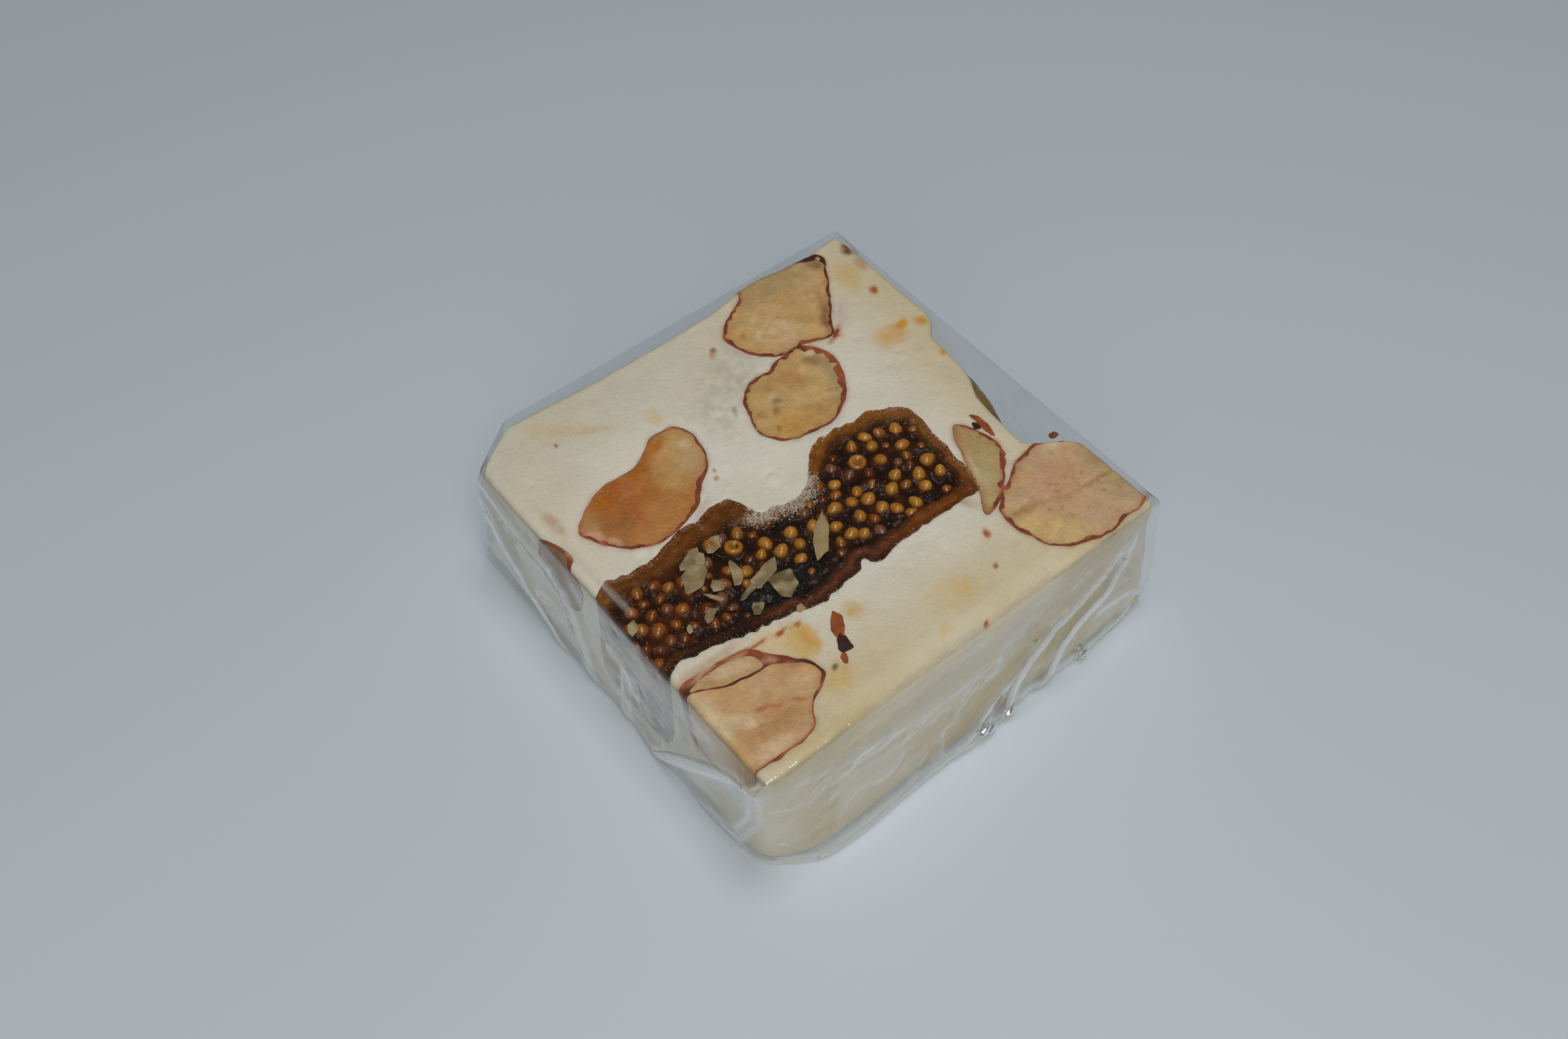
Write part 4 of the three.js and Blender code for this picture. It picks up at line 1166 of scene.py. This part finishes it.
SUGAR_FLAKES = [  # place, length and width, turn and tone
    ((-3.2, -5.7), (5.0, 1.5), 47, "straw"), ((-13.1, -2.5), (3.0, 2.1), 35, "drab"),
    ((-12.5, -0.9), (2.2, 1.2), 20, "drab"), ((-11.9, -1.3), (1.2, 0.9), 60, "cream"),
    ((-10.3, -0.8), (1.6, 1.2), 20, "tan"), ((-10.5, -4.1), (2.6, 1.1), 65, "drab"),
    ((-8.6, -5.5), (3.6, 1.3), 18, "drab"), ((-10.8, -6.1), (2.0, 0.8), 15, "olive"),
    ((-8.2, -7.4), (2.9, 2.2), 82, "olive"), ((-12.4, -4.2), (1.4, 1.2), 30, "drab"),
    ((-14.4, -6.0), (1.4, 0.9), 20, "drab"), ((-11.2, -7.7), (1.4, 1.0), 35, "olive"),
    ((-13.2, -4.9), (1.8, 0.5), -60, "olive"), ((-8.7, -9.8), (0.9, 0.8), 60, "straw"),
    ((-19.7, -3.2), (1.5, 0.8), 60, "drab"), ((-16.5, -6.1), (0.8, 0.5), 60, "drab")]
chips = []
for i, (place, size, turn, tone) in enumerate(SUGAR_FLAKES):
    chip = flake(f"chip_{i}", place, np.array(size) * 1.12, turn, 200 + 3 * i, corners=6)
    grain = points_of(chip)
    plain = np.tile(linear(TONES[tone]), (len(grain), 1)) * 0.75
    paint(chip, "tint", tinted(plain, 0.3 + 0.9 * noise(grain, 0.6, 92), "#CBB488"))
    chips.append(chip)
flakes = joined("sugar_flakes", chips)
finish_piece(flakes, FLAKE)

SKIN_FLAKES = [  # loose bits of almond skin, in the same way
    ((-7.6, -12.9), (2.8, 1.15), 62, "rust"), ((-8.3, -14.4), (2.0, 1.25), 72, "bark"),
    ((-9.0, -15.4), (1.3, 0.7), 50, "rust"), ((14.7, -5.2), (3.2, 0.75), 86, "rust"),
    ((14.25, -5.0), (1.1, 0.6), 80, "bark"), ((13.9, -8.5), (0.8, 0.5), 50, "rust"),
    ((18.5, -9.7), (0.9, 0.7), 0, "brown"),
    ((12.1, 10.5), (1.2, 0.3), 30, "rust")]
chips = []
for i, (place, size, turn, tone) in enumerate(SKIN_FLAKES):
    chip = flake(f"skin_chip_{i}", place, size, turn, 300 + 3 * i, thick=0.2, height=0.02)
    bright = 0.75 + 0.25 * noise(points_of(chip), 0.5, 93)[:, None]
    paint(chip, "tint", linear(TONES[tone]) * bright)
    chips.append(chip)
skin_flakes = joined("skin_flakes", chips)
finish_piece(skin_flakes, ALMOND_SKIN)


# ---- The clear film ----
def film_material():
    """A clear skin that mirrors more where it is steep or many films lie over one another.

    The film's own walls value counts those films, and its haze value says how white it is. That white is
    partly the film's own milky haze and partly painted highlights and reflections along its creases,
    pleats and sides.
    """
    material, tree = new_material("clear_cellophane")
    spot = add_node(tree, "ShaderNodeTexCoord").outputs["Object"]
    ripple = add_node(tree, "ShaderNodeTexNoise", {
        "Vector": spot, "Scale": per_mm(2.2), "Detail": 3.0, "Roughness": 0.5})
    relief = add_node(tree, "ShaderNodeBump", {
        "Height": ripple.outputs["Fac"], "Distance": 0.12 * MM, "Strength": 1.0})
    haze_and_highlight = add_node(tree, "ShaderNodeAttribute", attribute_name="haze_and_highlight").outputs["Fac"]
    walls = add_node(tree, "ShaderNodeAttribute", attribute_name="walls").outputs["Fac"]
    slant = add_node(tree, "ShaderNodeLayerWeight", {"Blend": 0.5, "Normal": relief.outputs[0]})
    steep = add_node(tree, "ShaderNodeMath", {0: slant.outputs["Facing"], 1: 5.0}, operation="POWER")
    passed = add_node(tree, "ShaderNodeMapRange", {
        "Value": steep.outputs[0], "To Min": 0.96, "To Max": 0.0})
    through = add_node(tree, "ShaderNodeMath", {0: passed.outputs[0], 1: walls}, operation="POWER")
    clear = add_node(tree, "ShaderNodeBsdfTransparent", {"Color": (0.985, 0.988, 0.99, 1.0)})
    gloss = add_node(tree, "ShaderNodeBsdfGlossy", {
        "Color": (1, 1, 1, 1), "Roughness": 0.07, "Normal": relief.outputs[0]})
    # White diffuse that paints the film's haze and its painted highlights and reflections.
    painted_white_sheen = add_node(tree, "ShaderNodeBsdfDiffuse", {"Color": colour("#E2DDD2"), "Roughness": 0.5})
    skin = add_node(tree, "ShaderNodeMixShader", {
        "Fac": through.outputs[0], 1: gloss.outputs[0], 2: clear.outputs[0]})
    whole = add_node(tree, "ShaderNodeMixShader", {"Fac": haze_and_highlight, 1: skin.outputs[0], 2: painted_white_sheen.outputs[0]})
    add_node(tree, "ShaderNodeOutputMaterial", {"Surface": whole.outputs[0]})
    return material


# Creases down the film's sides: line as (place along the side, height), height of the fold, its
# half width, and how white it shows, a painted highlight along the crease.
FOLDS = {
    "left": [
        ([(17, 12.6), (12, 11), (10, 10.6), (6, 10.7)], 0.25, 1.4, 0.22),
        ([(16.5, 9.4), (14, 6.5), (10, 3.5), (8.5, 2), (5, 0)], 0.3, 2.0, 0.28),
        ([(6, 11.3), (4, 8), (3, 5), (2, 2), (1.5, 0)], 0.3, 1.8, 0.28),
        ([(9, 4.8), (7.4, 5.4), (6.5, 4.6)], 0.12, 0.8, 0.2),
        ([(-1.2, 8.4), (-2.4, 9.0), (-3.8, 8.0), (-4.2, 6.0)], 0.2, 0.9, 0.28),
        ([(-3.0, 7.5), (-2.8, 3), (-2.6, 0.3)], 0.22, 0.7, 0.28),
        ([(-6.5, 0.5), (-10, 4), (-14, 8), (-20, 13)], 0.5, 2.6, 0.22),
        ([(-19.6, 13), (-19.2, 7), (-17.5, 2.6), (-13, 0.6)], 0.35, 2.2, 0.25),
    ],
    "front": [
        ([(-16, 9.1), (-8, 9.0), (2, 8.4)], 0.12, 2.4, 0.16),
        ([(-2, 1.6), (2, 4.0), (6, 6.5), (8, 7.8), (12, 9.8), (15, 10.7)], 0.4, 1.7, 0.28),
        ([(2.2, -1), (3.5, 2), (5, 6), (8, 8.2), (14, 10.4)], 0.3, 1.3, 0.28),
        ([(6.8, -1), (8, 1.5), (8.6, 4), (9.5, 4.9), (12, 6), (14.3, 7), (15.5, 8.5),
          (16.5, 10.4)], 0.4, 1.3, 0.3),
        ([(10, 10.5), (12, 11.4), (14, 11.5), (17, 11.2)], 0.15, 0.9, 0.25),
        ([(12, 0.3), (14, 1.0), (18, 0.6)], 0.3, 1.0, 0.25),
        ([(14, 5), (18, 4.5), (19.4, 3)], 0.2, 1.2, 0.15),
        ([(-18, 12), (-14, 10.4), (-9, 9.6)], 0.15, 1.8, 0.12),
        ([(-4.2, 4.2), (-4.4, 1.6), (-4.0, 0)], 0.14, 0.8, 0.1),
    ],
    "right": [
        ([(-19.5, 12.4), (-14, 7.5), (-8, 2.6), (-4, 0.2)], 0.4, 2.0, 0.22),
        ([(19.2, 12.4), (13, 7.6), (7, 2.8), (3, 0.2)], 0.4, 2.0, 0.22),
        ([(-4.5, 11.6), (-1, 7.5), (0.2, 2.5)], 0.12, 1.5, 0.03),
        ([(8, 11.8), (4.5, 8.6), (3, 4.2)], 0.12, 1.5, 0.03),
    ],
    "back": [
        ([(-15, 11.6), (-6, 9.8), (4, 10.6), (15, 9.6)], 0.12, 2.2, 0.04),
        ([(15, 10.5), (9, 6.5), (2, 3.2), (-4, 0.6)], 0.3, 1.6, 0.2),
        ([(-17, 8.5), (-11, 4.4), (-6, 0.8)], 0.2, 1.4, 0.08),
    ],
}
OUT_OF = {"left": (-1, 0), "front": (0, -1), "right": (1, 0), "back": (0, 1)}
# How white each side's film is where it touches the nougat and where it stands off it, and how
# many films lie over one another there. Where it stands off, the white is partly the film's own
# milkiness and partly painted reflection.
VEIL = {"left": (0.02, 0.1, 2.2), "front": (0.01, 0.12, 2.8), "right": (0.0, 0.05, 1.0),
        "back": (0.0, 0.05, 1.0)}
HEM_AND_FOOT_SHADE = {"left": 0.7, "front": 1.9}  # how high the film is thickened along the foot: a real hem at the front; along the left foot the thicker, darker film is painted shade for the shadow under the pack
GLINTS = [(12.0, 1.0), (3.4, 0.9), (1.2, 0.7), (0.4, 1.4)]  # crumpled spots along the front
FRONT_FOOT = np.array([  # how far out the film spreads along the foot of the front
    [-20, 0.1], [-16, 0.5], [-12.3, 0.6], [-8, 0.35], [-2, 0.3], [-1, 0.6], [1, 0.4], [3.5, 0.1],
    [6, -0.1], [12, 0.1], [17, -0.2], [20.4, -1.0]])


def standing_off(points):
    """1 where a side's film stands clear of the nougat and 0 where it clings to it."""
    lumps = noise(points, 3.2, 105) + 0.5 * noise(points, 1.2, 106) + 0.25 * noise(points, 0.5, 107)
    soft = 0.07 + 0.18 * ramp(points[:, 1], -19, -16)
    return ramp((lumps + 0.1 * (points[:, 2] - 6)) / soft, -1, 1)


points, faces, out = pack_form(step=0.27, upright_step=0.3, edge_step=0.1, inset=0.0,
                               low_z=FILM_FOOT, high_z=FILM_TOP, radius=0.35)
clinging = ramp(points[:, 1], -16, -12) * (1 - ramp(points[:, 1], 15, 18))
points = round_edge(points, 0, -21.0, FILM_FOOT, FILM_FOOT_RADIUS, clinging)
shift = np.zeros_like(points)
haze_and_highlight = np.full(len(points), 0.004)
walls = np.full(len(points), 1.2)
clear_of = standing_off(points)
for side_name, (ox, oy) in OUT_OF.items():
    facing = np.clip(out[:, 0] * ox + out[:, 1] * oy, 0, 1) ** 2
    along = points[:, 1] if ox else points[:, 0]
    flat = np.column_stack([along, points[:, 2]])
    rise = 0.10 * (1 - np.abs(noise(points * (1, 1, 0.6), 4.0, 101))) - 0.05 + 0.08 * clear_of
    painted_white_sheen, doubled = np.zeros(len(points)), np.zeros(len(points))
    for line, height, half_width, highlight_strength in FOLDS[side_name]:
        off = line_distance(flat, line)
        rise = rise + height * np.clip(1 - off / half_width, 0, 1)
        # A thin white line along each crease is a painted highlight.
        painted_white_sheen = painted_white_sheen + 1.5 * highlight_strength * np.exp(-(off / 0.14) ** 2)
        doubled = doubled + 20 * highlight_strength * np.exp(-((off - 0.45) / 0.25) ** 2)
    if side_name == "front":
        for x, z in GLINTS:
            spot = blob(flat, x, z, 0.3)
            rise, doubled = rise + 0.3 * spot, doubled + 8 * spot
    if side_name == "left":
        # Whitish patches over the fig end are painted reflection in the film.
        over_fig = ramp(points[:, 1], -11, -8) * (1 - ramp(points[:, 1], -1, 2))
        painted_white_sheen = painted_white_sheen + 0.24 * over_fig * ramp(noise(points, 2.6, 108), -0.5, 0.1)
    # Along the foot the film counts extra walls, which darken it, and at the left foot this is painted
    # shade; the pale bands of the hem paint its highlights.
    if side_name in HEM_AND_FOOT_SHADE:
        foot_band = 1 - ramp(points[:, 2], 0.5, HEM_AND_FOOT_SHADE[side_name])
        highlight_strands = ramp(np.sin(7 * points[:, 2] + 2.5 * noise(points * (0.4, 1, 1), 2.0, 109)), 0.5, 1)
        doubled = doubled + 5 * foot_band
        painted_white_sheen = painted_white_sheen * (1 - 0.7 * foot_band) + foot_band * (0.26 + 0.4 * highlight_strands)
    edge_fade = ramp(points[:, 2], 0, 1.2) * (1 - ramp(points[:, 2], FILM_TOP - 1.2, FILM_TOP))
    shift[:, 0] += ox * facing * rise * edge_fade
    shift[:, 1] += oy * facing * rise * edge_fade
    touching_white, standing_off_sheen, layers = VEIL[side_name]
    # Where the film stands off the nougat, its whiteness is partly its own milkiness and partly painted
    # reflection.
    haze_and_highlight += facing * (touching_white + (standing_off_sheen - touching_white) * clear_of + painted_white_sheen)
    walls += facing * (layers - 1.2 + 0.8 * clear_of * (layers > 1) + doubled)
low = 1 - ramp(points[:, 2], 0, 4)
front = ramp(-points[:, 1], 17, 20) * low
shift[:, 1] -= np.interp(points[:, 0], *FRONT_FOOT.T) * front
# A crease also runs along the top, close to the left edge; it is only a white streak in the film, a
# painted highlight.
x, y, z = points.T
crease = np.exp(-((x + 19.3 + 0.04 * (y - 3)) / 0.22) ** 2) * ramp(y, -3, -1) * (1 - ramp(y, 6, 9))
haze_and_highlight += 0.35 * crease * ramp(z, FILM_TOP - 0.3, FILM_TOP - 0.1)
film = new_object("film_wrap", points + shift, faces)
weigh(film, "haze_and_highlight", np.clip(haze_and_highlight, 0, 0.9))
weigh(film, "walls", walls)
# Clear cellophane: thin, stiff and very glossy, and white where it is creased or gathered; much of that
# white is painted highlight and reflection.
CELLOPHANE = film_material()
finish_piece(film, CELLOPHANE, ["film_wrap"], sharp=180)


def pleat(name, side_name, line, width, painted_white_sheen, thick=0.12):
    """A flattened fold of film lying on a side, along a line of (place along it, height)."""
    line = np.array(line, float)
    run = np.concatenate([[0], np.cumsum(np.linalg.norm(np.diff(line, axis=0), axis=1))])
    steps = np.linspace(0, run[-1], max(8, round(run[-1] / 0.3)))
    centre = np.column_stack([np.interp(steps, run, line[:, k]) for k in (0, 1)])
    heading = np.gradient(centre, axis=0)
    heading /= np.linalg.norm(heading, axis=1, keepdims=True)
    across = np.column_stack([-heading[:, 1], heading[:, 0]])
    taper = np.sin(np.clip(steps / run[-1], 0.04, 0.96) * math.pi) ** 0.4 * width / 2
    ox, oy = OUT_OF[side_name]
    depths = surface_depth(side_name, centre)
    turn = np.linspace(0, 2 * math.pi, 16, endpoint=False)  # the angles round each of its rings
    rings, ring_highlights = [], []
    for i in range(len(centre)):
        flat = centre[i] + across[i] * (np.cos(turn) * taper[i])[:, None]
        lift = depths[i] + thick * (0.6 + 0.5 * np.sin(turn))
        ring = (np.column_stack([lift * ox, flat[:, 0], flat[:, 1]]) if ox
                else np.column_stack([flat[:, 0], lift * oy, flat[:, 1]]))
        rings.append(ring)
        # The white along each pleat's edges is a painted highlight.
        ring_highlights.append(painted_white_sheen * np.abs(np.cos(turn)) ** 8 + 0.02)
    made = tube(name, rings)
    builder = bmesh.new()
    builder.from_mesh(made.data)
    bmesh.ops.recalc_face_normals(builder, faces=builder.faces)
    builder.to_mesh(made.data)
    builder.free()
    weigh(made, "haze_and_highlight", np.concatenate(ring_highlights))
    weigh(made, "walls", np.full(len(made.data.vertices), 3.4))
    return made


SHELL = points + shift


def surface_depth(side_name, places):
    """How far out the film stands on a side at places along it."""
    ox, oy = OUT_OF[side_name]
    facing = out[:, 0] * ox + out[:, 1] * oy > 0.9
    shell = SHELL[facing]
    flat = shell[:, [1, 2]] if ox else shell[:, [0, 2]]
    depths = shell[:, 0] * ox + shell[:, 1] * oy
    nearest = [np.argmin(np.sum((flat - place) ** 2, axis=1)) for place in places]
    return depths[nearest]


PLEATS = [  # side, line of (place along it, height), width, and how white its edges are, a painted highlight
    ("front", [(2.2, 0.2), (3.5, 2.2), (5, 5.6), (8, 8.0), (13.5, 10.2)], 1.3, 0.34),
    ("front", [(6.8, 0.2), (8, 1.7), (9.5, 4.7), (12, 6), (14.3, 7), (16.2, 9.8)], 1.4, 0.34),
    ("front", [(-17, 0.5), (-12.3, 0.5), (-7, 0.6), (-1, 0.8), (5, 0.5)], 0.7, 0.3),
    ("left", [(16.2, 9.0), (13.5, 6.2), (10, 3.5), (5.5, 0.5)], 1.1, 0.24),
    ("left", [(-6.8, 0.7), (-10, 4), (-14, 8), (-18.4, 11.8)], 1.4, 0.24),
    ("right", [(-18.5, 11.6), (-15, 8.6), (-10, 4.0), (-4.6, 0.6)], 0.8, 0.14),
    ("right", [(18.5, 11.9), (14, 8.0), (8, 4.1), (3.4, 0.6)], 0.8, 0.14),
    ("back", [(14.5, 10.1), (9, 6.5), (2, 3.2), (-3.4, 0.8)], 0.8, 0.14)]
pleats = joined("film_pleats", [pleat(f"pleat_{i}", *spec) for i, spec in enumerate(PLEATS)])
finish_piece(pleats, CELLOPHANE, sharp=180)

# Where the film is crumpled along the front foot, small facets catch the light.
crumples = []
for x, z in GLINTS:
    depth = surface_depth("front", [(x, z)])[0]
    knot = ball("crumple", (x, -depth, z), (0.7, 0.25, 0.35), 10, rings=4)
    facets = points_of(knot)
    move_points(knot, facets + 0.09 * np.column_stack([noise(facets, 0.4, 111 + k) for k in range(3)]))
    weigh(knot, "haze_and_highlight", np.full(len(facets), 0.1))
    weigh(knot, "walls", np.full(len(facets), 14.0))
    crumples.append(knot)
finish_piece(joined("film_crumples", crumples), CELLOPHANE, sharp=8)


# ---- Floor, light and camera ----
def floor():
    """A plain pale table top."""
    builder = bmesh.new()
    bmesh.ops.create_grid(builder, x_segments=1, y_segments=1, size=1.5)
    mesh = bpy.data.meshes.new("floor")
    builder.to_mesh(mesh)
    builder.free()
    made = linked("floor", mesh)
    material, tree = new_material("pale_table")
    shader = add_node(tree, "ShaderNodeBsdfPrincipled", {
        "Base Color": colour("#CAD4DC"), "Roughness": 0.45, "Specular IOR Level": 0.3})
    add_node(tree, "ShaderNodeOutputMaterial", {"Surface": shader.outputs[0]})
    mesh.materials.append(material)


def lamp(name, place, target, size, watts, tone):
    """A square soft light at a place in metres, facing a target."""
    data = bpy.data.lights.new(name, "AREA")
    data.shape = "SQUARE"
    data.size = size
    data.energy = watts
    data.color = linear(tone)
    made = linked(name, data)
    made.location = place
    made.rotation_euler = (Vector(target) - Vector(place)).to_track_quat("-Z", "Y").to_euler()


def camera():
    """Looks down on the front left corner, from an arm's length."""
    azimuth, elevation, distance = math.radians(-39.18), math.radians(52.70), 0.1535
    target = Vector((ORIGIN + (2.0, 5.3, 0)) * MM)
    back = Vector((math.sin(azimuth) * math.cos(elevation), -math.cos(azimuth) * math.cos(elevation),
                   math.sin(elevation)))
    data = bpy.data.cameras.new("camera")
    data.sensor_width = 36
    data.lens = 39.54
    data.clip_start = 0.005
    made = linked("camera", data)
    made.location = target + back * distance
    made.rotation_euler = back.to_track_quat("Z", "Y").to_euler()
    bpy.context.scene.camera = made


floor()
lamp("key", (-0.12, -0.195, 0.385), (0, 0, 0), 0.20, 0.82, "#FFFDF8")
lamp("front_fill", (-0.27, -0.29, 0.21), (0, 0, 0), 0.22, 0.24, "#FFFFFF")
lamp("overhead", (0.05, 0.0, 0.50), (0, 0, 0), 0.16, 0.64, "#F8FAFF")
camera()

world = bpy.data.worlds.new("studio")
world.use_nodes = True
world.node_tree.nodes.clear()
sky = add_node(world.node_tree, "ShaderNodeBackground", {"Color": colour("#DCE2E8"), "Strength": 0.03})
add_node(world.node_tree, "ShaderNodeOutputWorld", {"Surface": sky.outputs[0]})
bpy.context.scene.world = world
bpy.context.scene.view_settings.view_transform = "Standard"
